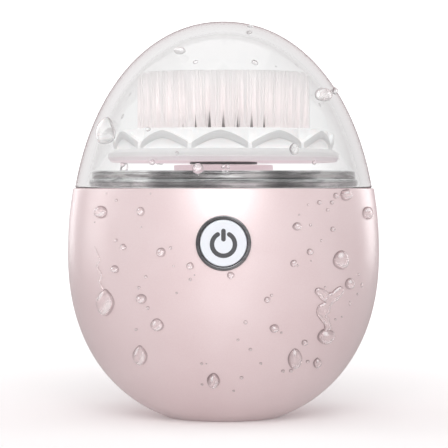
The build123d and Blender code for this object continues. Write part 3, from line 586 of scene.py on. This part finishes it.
make_world()
front_lamps = [
    make_lamp("front_wide_softbox", (0.0, -1.25, 0.68), (0.0, 0.0, 0.3), 1.5, 0.8, 3.0),
    make_lamp("front_narrow_softbox", (0.0, -1.2, 0.66), (0.0, 0.0, 0.3), 0.7, 0.72, 6.6),
]
left_lamp = make_lamp("left_softbox", (-1.1, 0.36, 0.32), (0.0, 0.0, 0.05), 0.55, 0.8, 1.6)
rim_lamps = [
    make_lamp("right_softbox", (0.8, 0.86, 0.22), (0.0, 0.0, 0.05), 0.4, 0.8, 2.1),
    make_lamp("left_rim_softbox", (-0.62, 1.0, 0.22), (0.0, 0.0, 0.05), 0.3, 0.8, 1.3),
]
make_lamp("top_softbox", (0.0, 0.1, 1.3), (0.0, 0.0, 0.05), 1.2, 1.2, 1.4)
make_floor()
bpy.context.scene.view_settings.view_transform = "Standard"
bpy.context.scene.view_settings.look = "None"
bounces = bpy.context.scene.cycles
bounces.max_bounces = 18
bounces.diffuse_bounces = 10
bounces.glossy_bounces = 8
bounces.transmission_bounces = 16
bounces.transparent_max_bounces = 24


# Body -------------------------------------------------------------------------

BUTTON_CENTRE_Z = (BEZEL_LOW.z + BEZEL_HIGH.z) / 2
BEZEL_FRONT = -BEZEL_LOW.y
BEZEL_RADIUS = 6.12 * MM
BEZEL_OPENING = 5.35 * MM


def make_body():
    """Cup with a flat base, a rounded rim and a hole for the button."""
    wall = 2.2 * MM
    base_wall = 2.4 * MM
    hole_radius = 6.05 * MM
    foot_round = 1.5 * MM
    rim_round = 0.3 * MM
    outside = egg_outline(0.35 * MM, RIM_Z - rim_round, 90)
    foot = [(0.0, 0.0), (outside[0][0] - foot_round, 0.0), (outside[0][0] - 0.5 * MM, 0.08 * MM)]
    top_radius = outside[-1][0]
    rim = arc((top_radius - rim_round, RIM_Z - rim_round), rim_round, 20, 90, 5)
    inside = egg_outline(base_wall, RIM_Z, 60, wall, wall)[::-1]
    outline = foot + outside + rim + inside + [(0.0, base_wall)]
    shell = lathe("pearl_body", outline, 224)
    normals_from = shell.copy()
    normals_from.data = shell.data.copy()
    bpy.context.scene.collection.objects.link(normals_from)
    hole = front_lathe("hole_cutter", [
        (0.0, 30 * MM), (hole_radius, 30 * MM), (hole_radius, 40 * MM), (0.0, 40 * MM),
    ], BUTTON_CENTRE_Z, 96)
    cut = shell.modifiers.new("hole", "BOOLEAN")
    cut.object = hole
    cut.solver = "EXACT"
    smooth = shell.modifiers.new("normals", "DATA_TRANSFER")
    smooth.object = normals_from
    smooth.use_loop_data = True
    smooth.data_types_loops = {"CUSTOM_NORMAL"}
    smooth.loop_mapping = "POLYINTERP_NEAREST"
    bpy.context.view_layer.objects.active = shell
    for modifier in ("hole", "normals"):
        bpy.ops.object.modifier_apply(modifier=modifier)
    for helper in (normals_from, hole):
        bpy.data.objects.remove(helper)
    shell.data.materials.clear()
    shell.data.materials.append(BODY_PINK)
    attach(shell, "handle")
    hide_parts("body_shell")


make_body()


# Button -----------------------------------------------------------------------

def make_bezel():
    """Turned metal ring with rounded lips."""
    lip = 0.16 * MM
    back = -BEZEL_HIGH.y
    flange_front = back + 0.7 * MM
    flange_radius = 7.0 * MM
    outline = [(BEZEL_OPENING, back), (flange_radius, back), (flange_radius, flange_front),
               (BEZEL_RADIUS, flange_front), (BEZEL_RADIUS, BEZEL_FRONT - lip)]
    outline += arc((BEZEL_RADIUS - lip, BEZEL_FRONT - lip), lip, 15, 90, 4)
    outline += arc((BEZEL_OPENING + lip, BEZEL_FRONT - lip), lip, 90, 180, 5)
    ring = front_lathe("bezel_ring", outline + [outline[0]], BUTTON_CENTRE_Z)
    sharpen(ring, 50)
    ring.data.materials.append(BEZEL_CHROME)
    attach(ring, "handle")
    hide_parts("button_bezel")


make_bezel()


# Cover ------------------------------------------------------------------------

def make_cover():
    """Thick clear dome with a rounded foot."""
    inner_inset = 3.05 * MM
    crown_wall = 2.5 * MM
    foot = 0.4 * MM
    outside = egg_outline(RIM_Z + foot, CROWN_Z, 110, COVER_INSET)
    outside[-1] = (0.0, CROWN_Z)
    foot_arc = arc((outside[0][0] - foot, RIM_Z + foot), foot, -90, -8, 6)
    inside = egg_outline(RIM_Z, CROWN_Z - crown_wall, 100, inner_inset, crown_wall)
    inside[-1] = (0.0, CROWN_Z - crown_wall)
    dome = lathe("clear_dome", inside[::-1] + foot_arc + outside, 256)
    sharpen(dome, 50)
    dome.data.materials.append(CLEAR)
    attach(dome, "cover")
    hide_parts("clear_cover")
    return dome


clear_dome = make_cover()


# Neck and deck ----------------------------------------------------------------

def make_neck():
    """Chromed ring: a flat band over a bead, with thin grooves."""
    inner = 29.9 * MM
    band = NECK_HIGH.x - 0.65 * MM
    bead = NECK_HIGH.x
    bead_z = NECK_LOW.z + 1.3 * MM
    bead_round = 0.7 * MM
    top = NECK_HIGH.z
    top_round = 0.4 * MM
    outline = [(inner, NECK_LOW.z), (band, NECK_LOW.z), (band + 0.1 * MM, bead_z - 0.75 * MM)]
    outline += arc((bead - bead_round, bead_z), bead_round, -65, 65, 10)
    outline += [(band - 0.15 * MM, bead_z + 0.75 * MM), (band, bead_z + 0.95 * MM),
                (band, top - 0.7 * MM), (band - 0.12 * MM, top - 0.6 * MM)]
    outline += arc((band - top_round, top - top_round), top_round, 0, 90, 6)
    outline += [(inner, top), (inner, NECK_LOW.z)]
    ring = lathe("chrome_neck", outline, 224)
    sharpen(ring, 40)
    ring.data.materials.append(NECK_CHROME)
    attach(ring, "handle")
    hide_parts("neck_ring")
    return ring


chrome_neck = make_neck()


def keep_glare_off(name, pieces, lamps):
    """Stops a group of lamps from mirroring in a group of pieces."""
    spared = bpy.data.collections.new(name)
    for piece in pieces:
        spared.objects.link(piece)
    for entry in spared.collection_objects:
        entry.light_linking.link_state = "EXCLUDE"
    for lamp in lamps:
        lamp.light_linking.receiver_collection = spared


keep_glare_off("no_front_glare", [clear_dome], front_lamps)
keep_glare_off("no_left_glare", [clear_dome, chrome_neck], [left_lamp])
keep_glare_off("no_rim_glare", [clear_dome, chrome_neck], rim_lamps)


# Brush head -------------------------------------------------------------------

LOBES = 12
SKIRT_RADIUS = SKIRT_HIGH.x
VALLEY_LOW, VALLEY_HIGH = 62.5 * MM, 64.15 * MM
PEAK_LOW, PEAK_HIGH = 65.3 * MM, 67.2 * MM
LOBE_TURN = math.radians(-91.7)
PAINTED_SHADE_ROWS = (3, 4, 5, 6)


def lobe_share(turn):
    """Distance from the nearest lobe's middle, from 0 there to 1 in the crease."""
    pitch = 2 * math.pi / LOBES
    offset = (turn - LOBE_TURN + pitch / 2) % pitch - pitch / 2
    return abs(offset) / (pitch / 2)


def make_head_base():
    """Pearl plate with a chamfered lower edge; below the groove it takes a pinker pearl, partly
    painted reflection of the pink deck.
    """
    low = HEAD_LOW.z
    radius = HEAD_HIGH.x
    chamfer = 0.95 * MM
    edge = 62.1 * MM
    groove = 61.15 * MM
    edge_round = 0.3 * MM
    groove_floor = radius - 0.14 * MM
    hub_radius = 6.5 * MM
    outline = [
        (0.0, low), (radius - 0.75 * chamfer, low), (radius - 0.5 * chamfer, low + 0.15 * chamfer),
        (radius - 0.05 * MM, low + chamfer), (radius, low + 1.1 * chamfer), (radius, groove),
        (groove_floor, groove + 0.12 * MM), (groove_floor, groove + 0.3 * MM),
        (radius, groove + 0.42 * MM), (radius, edge),
    ]
    outline += arc((radius - edge_round, edge), edge_round, 10, 60, 4)
    outline += [(26.0 * MM, 63.1 * MM), (hub_radius, 63.3 * MM), (hub_radius, HEAD_HIGH.z),
                (0.0, HEAD_HIGH.z)]
    plate = lathe("head_plate", outline, 192)
    sharpen(plate, 35)
    plate.data.materials.append(HEAD_WHITE)
    plate.data.materials.append(HEAD_PEARL_AND_PAINTED_REFLECTION)
    # Faces below the groove take the pinker pearl: partly painted reflection of the pink deck
    for polygon in plate.data.polygons:
        polygon.material_index = 1 if polygon.center.z < groove + 0.2 * MM else 0
    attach(plate, "brush")
    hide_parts("head_base")


def make_skirt():
    """Soft rim: a band that rises and falls over rounded lobes, with a crease in each valley; a
    grey copy of the silicone on the band's outer face is painted shade, and the white left in each
    crease a painted highlight.
    """
    segments = LOBES * 32
    inner = 24.2 * MM
    lip = inner - 1.2 * MM
    floor = SKIRT_LOW.z - 0.3 * MM
    turns = [2 * math.pi * i / segments for i in range(segments)]
    shares = [lobe_share(turn) for turn in turns]
    verts = []
    for turn, share in zip(turns, shares):
        hump = 1.0 - share ** 1.6
        bowl = (1.0 - share ** 1.4) ** 0.9
        low = VALLEY_LOW + (PEAK_LOW - VALLEY_LOW) * hump
        high = VALLEY_HIGH + (PEAK_HIGH - VALLEY_HIGH) * bowl
        crease = 0.55 * MM * share ** 6
        outer = SKIRT_RADIUS - crease
        profile = [
            (inner, floor), (outer - 0.9 * MM, floor), (outer - 0.75 * MM, low - 0.25 * MM),
            (outer - 0.45 * MM, low - 0.02 * MM), (outer - 0.08 * MM, low + 0.08 * MM),
            (outer, low + 0.3 * MM), (outer - 0.1 * MM, high - 0.3 * MM),
            (outer - 0.25 * MM, high - 0.08 * MM), (outer - 0.7 * MM, high),
            (outer - 1.1 * MM, high + 0.1 * MM),
            (outer - 1.35 * MM, max(high, 67.35 * MM) + 0.05 * MM),
            (outer - 1.9 * MM, 67.62 * MM), (inner - 0.7 * MM, 67.7 * MM), (lip, 67.6 * MM),
            (lip, 67.0 * MM), (inner, 66.6 * MM),
        ]
        verts += [(radius * math.cos(turn), radius * math.sin(turn), z) for radius, z in profile]
    count = len(verts) // segments
    faces = []
    painted_shade_tones = []
    for i in range(segments):
        j = (i + 1) % segments
        # Band faces take the grey silicone as painted shade; crease faces stay white as a painted
        # highlight line
        crease_painted_highlight = min(shares[i], shares[j]) > 0.92
        for k in range(count):
            m = (k + 1) % count
            faces.append((i * count + k, j * count + k, j * count + m, i * count + m))
            painted_shade_tones.append(1 if k in PAINTED_SHADE_ROWS and not crease_painted_highlight else 0)
    skirt = new_piece("silicone_skirt", verts, faces)
    skirt.data.materials.append(SKIRT_SILICONE)
    skirt.data.materials.append(BAND_SILICONE_PAINTED_SHADE)
    for polygon, painted_shade_tone in zip(skirt.data.polygons, painted_shade_tones):
        polygon.material_index = painted_shade_tone
    sharpen(skirt, 60)
    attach(skirt, "brush")
    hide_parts("wavy_skirt")


make_head_base()
make_skirt()


# Bristles ---------------------------------------------------------------------

TUFT_PITCH = 3.2 * MM
TUFT_RADIUS = 1.25 * MM
OUTER_RING = 19.25 * MM
BRUSH_REACH = 20.45 * MM
FILAMENTS = 46
FILAMENT_SIDES = 5


def tuft_places(ring_radius):
    """Tuft centres on one ring."""
    count = max(1, round(2 * math.pi * ring_radius / TUFT_PITCH))
    turns = [2 * math.pi * step / count for step in range(count)]
    return [(ring_radius * math.cos(turn), ring_radius * math.sin(turn)) for turn in turns]


def make_bristles(name, rings, node, seed):
    """Tufts of fine filaments that fan out until neighbouring tufts meet."""
    draw = random.Random(seed)
    root_z = PLATE_TOP - 0.5 * MM
    tip_z = TUFT_TOP - 0.1 * MM
    verts = []
    faces = []
    roots = [centre for ring in rings for centre in tuft_places(ring) for _ in range(FILAMENTS)]
    for x, y in roots:
        turn = draw.uniform(0.0, 2 * math.pi)
        reach = math.sqrt(draw.random())
        stations = []
        for share, fan in ((0.0, 0.95), (0.35, 1.26), (1.0, 1.42)):
            sway = draw.uniform(-0.12, 0.12) * MM * share
            px = x + TUFT_RADIUS * reach * fan * math.cos(turn) + sway
            py = y + TUFT_RADIUS * reach * fan * math.sin(turn) - sway
            out = math.hypot(px, py)
            if out > BRUSH_REACH:
                px, py = px * BRUSH_REACH / out, py * BRUSH_REACH / out
            stations.append((px, py, root_z + (tip_z - root_z) * share))
        px, py, pz = stations[-1]
        rim_trim = 0.45 * (math.hypot(px, py) / BRUSH_REACH) ** 4
        stations[-1] = (px, py, pz - (rim_trim + abs(draw.gauss(0.0, 0.06))) * MM)
        radius = draw.uniform(0.09, 0.125) * MM
        base = len(verts)
        angles = [2 * math.pi * side / FILAMENT_SIDES + turn for side in range(FILAMENT_SIDES)]
        verts += [(px + radius * math.cos(angle), py + radius * math.sin(angle), pz)
                  for px, py, pz in stations for angle in angles]
        join_rings(faces, base, len(stations), FILAMENT_SIDES)
        faces.append(tuple(range(len(verts) - FILAMENT_SIDES, len(verts))))
        faces.append(tuple(reversed(range(base, base + FILAMENT_SIDES))))
    bristles = new_piece(name, verts, faces, clean=False)
    for polygon in bristles.data.polygons:
        polygon.use_smooth = len(polygon.vertices) == 4
    bristles.data.materials.append(BRISTLE_NYLON)
    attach(bristles, "brush")
    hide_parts(node)


RING_COUNT = int(OUTER_RING / TUFT_PITCH) + 1
RINGS = [max(0.0, OUTER_RING - step * TUFT_PITCH) for step in range(RING_COUNT)]
make_bristles("rim_filaments", RINGS[:2], "outer_bristles", 11)
make_bristles("core_filaments", RINGS[2:], "inner_bristles", 12)


# Water drops ------------------------------------------------------------------

def egg_slope(z, inset):
    """How fast the outline's radius grows with height."""
    step = 0.05 * MM
    return (egg_radius(z + step, inset) - egg_radius(z - step, inset)) / (2 * step)


def on_egg(turn, z, inset):
    """Point of the egg's surface and its outward and upward directions; turn 0 is the front."""
    slope = egg_slope(z, inset)
    across = Vector((math.sin(turn), -math.cos(turn), 0.0))
    outward = Vector((across.x, across.y, -slope)).normalized()
    upward = Vector((across.x * slope, across.y * slope, 1.0)).normalized()
    radius = egg_radius(z, inset)
    return Vector((across.x * radius, across.y * radius, z)), outward, upward


def surface_point(turn, z, right, up, lift, inset):
    """Point reached from (turn, z) by going right and up along the egg's surface, then outwards."""
    start, outward, upward = on_egg(turn, z, inset)
    height = z + up * upward.z
    radius = max(egg_radius(height, inset), 5.0 * MM)
    place_at, outward, upward = on_egg(turn + right / radius, height, inset)
    return place_at + outward * lift


def hanging_line(turn, z, inset):
    """Sideways step for each step up the surface that looks upright from the front."""
    slope = egg_slope(z, inset)
    return -slope * math.tan(turn) / math.hypot(1.0, slope)


def add_drop(verts, faces, draw, drop, inset):
    """Adds a rounded cap, as wide as given when seen from the front, with its rim sunk in."""
    turn, z, width, length, taper = drop
    turn = math.radians(turn)
    z = z * MM
    facing = math.cos(turn)
    in_front = facing > 0.25
    half_width = width * MM / 2 / (max(facing, 0.5) if in_front else 1.0)
    hang = hanging_line(turn, z, inset) if in_front else 0.0
    half_length = length * MM / 2
    large = width > 1.1
    rings = 11 if large else 6
    spokes = 36 if large else 18
    rise = width * MM / 2 * (0.7 if width < 3 else 0.55)
    wobble = [(draw.uniform(0.0, 0.035), draw.uniform(0, 2 * math.pi)) for _ in range(3)]
    base = len(verts)
    verts.append(surface_point(turn, z, 0.0, 0.0, rise, inset))
    for ring in range(1, rings + 2):
        share = math.sin(0.5 * math.pi * min(ring, rings) / rings)
        lift = rise * (1.0 - share ** 2) ** 0.6
        if ring > rings:
            lift = -0.1 * MM
        for spoke in range(spokes):
            angle = 2 * math.pi * spoke / spokes
            edge = 1.0 + sum(size * math.cos(k * angle + phase)
                             for k, (size, phase) in enumerate(wobble, start=2))
            up = share * math.sin(angle)
            narrowing = 1.0 - taper * max(0.0, up) ** 1.3
            right = half_width * share * edge * math.cos(angle) * narrowing
            rightwards = right + hang * half_length * edge * up
            sagged = lift * (1.0 - 0.22 * up) if lift > 0 else lift
            verts.append(surface_point(turn, z, rightwards, half_length * edge * up, sagged, inset))
    for spoke in range(spokes):
        following = (spoke + 1) % spokes
        faces.append((base, base + 1 + spoke, base + 1 + following))
        for ring in range(rings):
            a = base + 1 + ring * spokes + spoke
            b = base + 1 + ring * spokes + following
            faces.append((a, a + spokes, b + spokes, b))


def spline_through(stations, steps):
    """Smooth stations between given ones, each a tuple of numbers."""
    padded = [stations[0]] + list(stations) + [stations[-1]]
    out = []
    for before, start, end, after in zip(padded, padded[1:], padded[2:], padded[3:]):
        for step in range(steps):
            t = step / steps
            out.append(tuple(
                0.5 * (2 * b + (c - a) * t + (2 * a - 5 * b + 4 * c - d) * t * t
                       + (3 * b - a - 3 * c + d) * t ** 3)
                for a, b, c, d in zip(before, start, end, after)
            ))
    out.append(stations[-1])
    return out


def add_trickle(verts, faces, stations, thickness, inset):
    """Adds a run of water along (turn, height, width) stations, rounded across and sunk below."""
    points = spline_through([(math.radians(t), z * MM, w * MM) for t, z, w in stations], 7)
    across_steps = 10
    base = len(verts)
    count = across_steps + 2
    for index, (turn, z, width) in enumerate(points):
        before = points[max(index - 1, 0)]
        after = points[min(index + 1, len(points) - 1)]
        radius = egg_radius(z, inset)
        along_right = (after[0] - before[0]) * radius
        along_up = after[1] - before[1]
        length = math.hypot(along_right, along_up)
        side_right, side_up = -along_up / length, along_right / length
        end_share = min(index, len(points) - 1 - index) / 5
        swell = min(1.0, end_share) ** 0.5
        rise = min(thickness * MM, 0.3 * width) * swell
        for step in range(across_steps + 1):
            share = -math.cos(math.pi * step / across_steps)
            offset = share * width / 2 * (0.3 + 0.7 * swell)
            lift = rise * (1.0 - share ** 2) ** 0.62
            if step in (0, across_steps):
                lift = -0.06 * MM
            verts.append(surface_point(turn, z, side_right * offset, side_up * offset, lift, inset))
        verts.append(surface_point(turn, z, 0.0, 0.0, -0.1 * MM, inset))
    join_rings(faces, base, len(points), count)
    faces.append(tuple(range(base, base + count)))
    faces.append(tuple(reversed(range(len(verts) - count, len(verts)))))


def ease(low, high, value):
    """0 below a range, 1 above it, and a smooth rise between."""
    share = max(0.0, min(1.0, (value - low) / (high - low)))
    return share * share * (3.0 - 2.0 * share)


# Direction that each drop's painted glint faces, from the surface it lies on
PAINTED_GLINT_UP, PAINTED_GLINT_RIGHT, PAINTED_GLINT_OUT = 0.38, -0.16, 0.91


def gather_light(piece, inset):
    """Writes painted shade on a drop's rim and crown and painted light on its lower side and glint,
    from the slope of its skin.
    """
    mesh = piece.data
    attribute = mesh.color_attributes.new("light", "FLOAT_COLOR", "POINT")
    for vert in mesh.vertices:
        turn = math.atan2(vert.co.x, -vert.co.y)
        height = min(max(vert.co.z, 1.0 * MM), CROWN_Z - 1.5 * MM)
        outward, upward = on_egg(turn, height, inset)[1:]
        right = upward.cross(outward)
        lean_up = vert.normal.dot(upward)
        lean_right = vert.normal.dot(right)
        lean = math.hypot(lean_up, lean_right)
        towards_light = (0.8 * lean_up - 0.6 * lean_right) / max(lean, 1e-6)
        # Dark rim and crown are painted shade; bright lower side and glint are painted light
        rim = ease(0.42, 0.8, lean) * (0.78 + 0.22 * towards_light)
        painted_crown_shade = ease(0.15, 0.6, lean) * max(0.0, towards_light) * 0.5
        inside = 0.15 + 0.85 * ease(0.02, 0.3, lean) * max(0.0, 0.3 - towards_light) / 1.3
        painted_underlight = inside * (1.0 - ease(0.45, 0.7, lean))
        off_painted_glint = vert.normal - PAINTED_GLINT_UP * upward - PAINTED_GLINT_RIGHT * right - PAINTED_GLINT_OUT * outward
        painted_glint = 1.0 - ease(0.1, 0.22, off_painted_glint.length)
        dark = max(rim, painted_crown_shade) * (1.0 - painted_glint)
        attribute.data[vert.index].color = (dark, max(painted_underlight, painted_glint), 0.0, 1.0)


def weld(piece, voxel):
    """Melts overlapping runs of water into one skin."""
    remesh = piece.modifiers.new("weld", "REMESH")
    remesh.mode = "VOXEL"
    remesh.voxel_size = voxel
    remesh.use_smooth_shade = True
    smooth = piece.modifiers.new("smooth", "SMOOTH")
    smooth.factor = 0.5
    smooth.iterations = 4
    bpy.context.view_layer.objects.active = piece
    for modifier in ("weld", "smooth"):
        bpy.ops.object.modifier_apply(modifier=modifier)


def round_drops(*drops):
    """Drops (turn, height, width, length, taper) whose last two values may be left out."""
    return [(*drop, *(drop[2], 0.0)[len(drop) - 3:]) for drop in drops]


BODY_DROPS = round_drops(
    (-50, 48.8, 3.2, 2.9), (-30.5, 49, 1.9, 2.0), (-37.5, 41, 1.5), (-41, 42.5, 0.8),
    (-41.5, 36, 2.0, 1.8), (-22, 40, 2.1), (-11.5, 37, 1.7), (-18.5, 41, 0.8), (-30, 45.5, 0.5),
    (-42, 51.5, 0.7), (-47.5, 53, 0.5), (-27, 53, 0.5), (-53, 46.5, 0.4), (-17.5, 37, 0.5),
    (-10, 35, 0.4), (-11.5, 34, 0.8), (-16.5, 31, 0.6), (-28, 34.5, 0.75), (-31, 32, 0.8),
    (-30.3, 29.5, 2.4, 2.3), (-28, 27.5, 0.85), (-25, 23.7, 3.0, 3.0), (-34.5, 22.5, 0.7),
    (-9, 15, 0.7), (-7, 15, 0.4), (-10, 10, 0.65), (-4.5, 11, 2.9, 4.6, 0.1),
    (-48, 28.4, 4.3, 6.5, 0.5), (-36, 16.5, 3.5, 5.4, 0.45), (51, 52.7, 2.8), (45, 52.5, 1.4),
    (66, 48.5, 3.2), (26.5, 45.7, 2.1, 1.9), (32, 46, 0.7), (36.5, 51, 1.1), (42.5, 51, 1.0),
    (40, 49.3, 0.8), (31.5, 50.5, 0.6), (27.5, 48.3, 0.5), (42, 45, 1.2), (36.5, 42.5, 0.6),
    (31.5, 40, 1.5), (32, 38, 0.45), (25, 37.5, 1.6), (26.5, 37, 0.6), (46, 38, 3.8, 4.4, 0.15),
    (51.5, 32.5, 2.3, 2.7), (57, 34.5, 0.7), (60, 32, 0.7, 1.2), (57.5, 30, 0.6),
    (53, 28, 0.6, 1.1), (2.5, 35, 1.6), (15.5, 29.5, 1.4), (17, 30.5, 0.7), (8, 24.5, 0.95),
    (19, 23, 2.1), (22, 22, 0.6), (5.5, 20.5, 0.7), (30.5, 15.8, 3.4, 5.4, 0.15), (33, 19.5, 1.5),
    (43.5, 14.5, 2.0, 3.0, 0.5), (37.5, 15, 0.9), (26.5, 13, 0.9), (30.5, 13, 0.95),
    (10.5, 18.3, 0.8), (15.5, 15, 0.7), (8, 11.7, 0.9), (5, 8.5, 0.65), (49.5, 25, 0.45),
    (46, 24.5, 0.6), (38.5, 32, 0.5),
)
COVER_DROPS = round_drops(
    (-30.5, 85.8, 2.6), (-59.5, 67.4, 4.6, 6.8, 0.1), (-32.5, 67.5, 1.1), (-18, 62, 0.9),
    (-28, 60, 1.3), (-42, 59.5, 1.1), (-9.5, 58.6, 2.5), (0, 59, 1.1), (1.7, 59, 1.1),
    (28.5, 63, 2.1, 2.8, 0.1), (37, 60, 1.0), (56.5, 75.8, 4.0, 3.8), (75, 77, 2.2),
    (40, 92, 1.5),
)
FUNNEL_RUNS = [
    [(34.0, 31.4, 1.6), (35.8, 31.0, 2.0), (38.2, 30.2, 2.6), (40.4, 29.2, 2.4)],
    [(47.2, 31.9, 2.0), (46.4, 31.1, 2.6), (44.2, 30.1, 3.0), (42.0, 29.1, 2.6)],
    [(41.2, 30.8, 4.8), (41.3, 29.9, 6.0), (40.6, 28.3, 2.6), (39.1, 26.6, 4.7), (39.3, 25.3, 2.3),
     (41.4, 24.0, 1.9), (42.4, 23.0, 2.1), (43.0, 21.9, 3.6)],
]
FUNNEL_DROP = (43.1, 20.7, 4.1, 3.9, 0.0)
LEFT_TRACK = [(-52.5, 41, 0.4), (-49.8, 38, 0.8), (-51, 36.5, 0.6), (-48.8, 34.5, 0.9),
              (-50, 32.8, 0.7), (-47.6, 31, 1.2)]


def scattered_drops(draw, count, low, high):
    """Small drops at seeded random places on the sides and the back."""
    drops = []
    for _ in range(count):
        turn = draw.uniform(100.0, 260.0)
        width = 0.5 + 2.6 * draw.random() ** 3
        drops.append((turn, draw.uniform(low, high), width, width * draw.uniform(0.95, 1.2), 0.0))
    return drops


def make_water(name, body, drops, inset, seed):
    """All the separate drops on one surface."""
    draw = random.Random(seed)
    verts = []
    faces = []
    for drop in drops:
        add_drop(verts, faces, draw, drop, inset)
    finish_water(new_piece(name, verts, faces, clean=False), body, inset)


def finish_water(piece, body, inset):
    """Gives a piece of water its light, its material and the body that it rides on."""
    gather_light(piece, inset)
    piece.data.materials.append(WATER)
    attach(piece, body)


def make_funnel():
    """Zig-zag run of water that two small streams feed, with a full drop at its end."""
    verts = []
    faces = []
    for run in FUNNEL_RUNS:
        add_trickle(verts, faces, run, 0.5, 0.0)
    add_drop(verts, faces, random.Random(5), FUNNEL_DROP, 0.0)
    last_ring = range(len(verts) - 36, len(verts))
    faces.append(tuple(reversed(last_ring)))
    piece = new_piece("funnel_water", verts, faces)
    weld(piece, 0.09 * MM)
    finish_water(piece, "handle", 0.0)


def make_left_track():
    """Thin wet track above the large drop on the left."""
    verts = []
    faces = []
    add_trickle(verts, faces, LEFT_TRACK, 0.16, 0.0)
    finish_water(new_piece("track_water", verts, faces), "handle", 0.0)


SCATTER = random.Random(31)
body_drops = BODY_DROPS + scattered_drops(SCATTER, 95, 7.0, 53.0)
cover_drops = COVER_DROPS + scattered_drops(SCATTER, 34, 58.0, 88.0)
make_water("body_water", "handle", body_drops, 0.0, 21)
make_water("cover_water", "cover", cover_drops, COVER_INSET, 22)
make_funnel()
make_left_track()


# CAD nodes that stay, each with its own material ------------------------------

BRONZE = machined("sintered_bronze", (0.45, 0.3, 0.15), (0.6, 0.42, 0.24), 0.45, (1.0, 1.0, 1.0))
STEEL = machined("ground_steel", (0.55, 0.55, 0.57), (0.7, 0.7, 0.72), 0.3, (1.0, 1.0, 0.1))
CAN_STEEL = machined("can_nickel", (0.6, 0.6, 0.62), (0.72, 0.72, 0.74), 0.32, (1.0, 1.0, 0.08))
CORE_STEEL = machined("core_laminations", (0.2, 0.2, 0.22), (0.42, 0.42, 0.44), 0.45,
                      (0.1, 0.1, 4.0))
COPPER = machined("enamelled_copper", (0.55, 0.25, 0.12), (0.75, 0.4, 0.22), 0.3, (0.3, 0.3, 4.0))
POUCH = machined("pouch_foil", (0.62, 0.63, 0.65), (0.75, 0.76, 0.78), 0.38, (1.0, 1.0, 1.0))
BLACK_PLASTIC = moulded("black_plastic", (0.03, 0.03, 0.034), (0.06, 0.06, 0.065), 0.5)
SEAL_RUBBER = moulded("seal_rubber", (0.02, 0.02, 0.02), (0.04, 0.04, 0.04), 0.7)
ACETAL = moulded("gear_acetal", (0.8, 0.8, 0.75), (0.87, 0.87, 0.82), 0.4)
IVORY = moulded("end_cap_plastic", (0.7, 0.69, 0.63), (0.78, 0.77, 0.71), 0.45)
SOLDER_MASK = moulded("solder_mask", (0.01, 0.12, 0.05), (0.02, 0.17, 0.07), 0.3, coat=0.5)
FERRITE = moulded("ferrite", (0.03, 0.028, 0.028), (0.07, 0.065, 0.065), 0.6)
WIRE_RED = moulded("wire_red", (0.45, 0.02, 0.02), (0.55, 0.04, 0.03), 0.45)
MEMBRANE = moulded("membrane_silicone", (0.75, 0.75, 0.76), (0.82, 0.82, 0.83), 0.55, soft=0.2)
LED_EPOXY = clear_plastic("led_epoxy", 1.5, (0.85, 0.92, 1.0), 0.05, 1e-6)

CARRIED = [
    (DECK_PINK, ["deck_plate"]),
    (COUPLING_DARK, ["drive_coupling"]),
    (SKIRT_SILICONE, ["bristle_plate"]),
    (BUTTON_FACE, ["power_button"]),
    (ICON_PLASTIC, ["button_icon"]),
    (BRONZE, ["deck_bush", "cover_bush", "motor_bearings"]),
    (STEEL, ["output_spindle", "idler_axle", "motor_shaft", "chassis_screws", "gearbox_screws",
             "board_screws"]),
    (BLACK_PLASTIC, ["chassis", "gearbox_housing", "gearbox_cover", "board_components",
                     "switch_body", "switch_plunger"]),
    (SEAL_RUBBER, ["deck_seal", "spindle_seal"]),
    (ACETAL, ["output_gear", "idler_gear", "motor_pinion"]),
    (COPPER, ["rotor_windings", "charging_coil", "motor_brushes", "commutator"]),
    (WIRE_RED, ["motor_leads", "battery_leads", "coil_leads"]),
    (FERRITE, ["ferrite_plate", "motor_magnets"]),
    (CAN_STEEL, ["motor_can"]),
    (CORE_STEEL, ["rotor_core"]),
    (POUCH, ["battery_cell"]),
    (IVORY, ["motor_end_cap"]),
    (SOLDER_MASK, ["circuit_board"]),
    (MEMBRANE, ["button_membrane"]),
    (LED_EPOXY, ["indicator_led"]),
]
for node_material, node_names in CARRIED:
    for node_name in node_names:
        node_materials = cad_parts[node_name].data.materials
        node_materials.clear()
        node_materials.append(node_material)
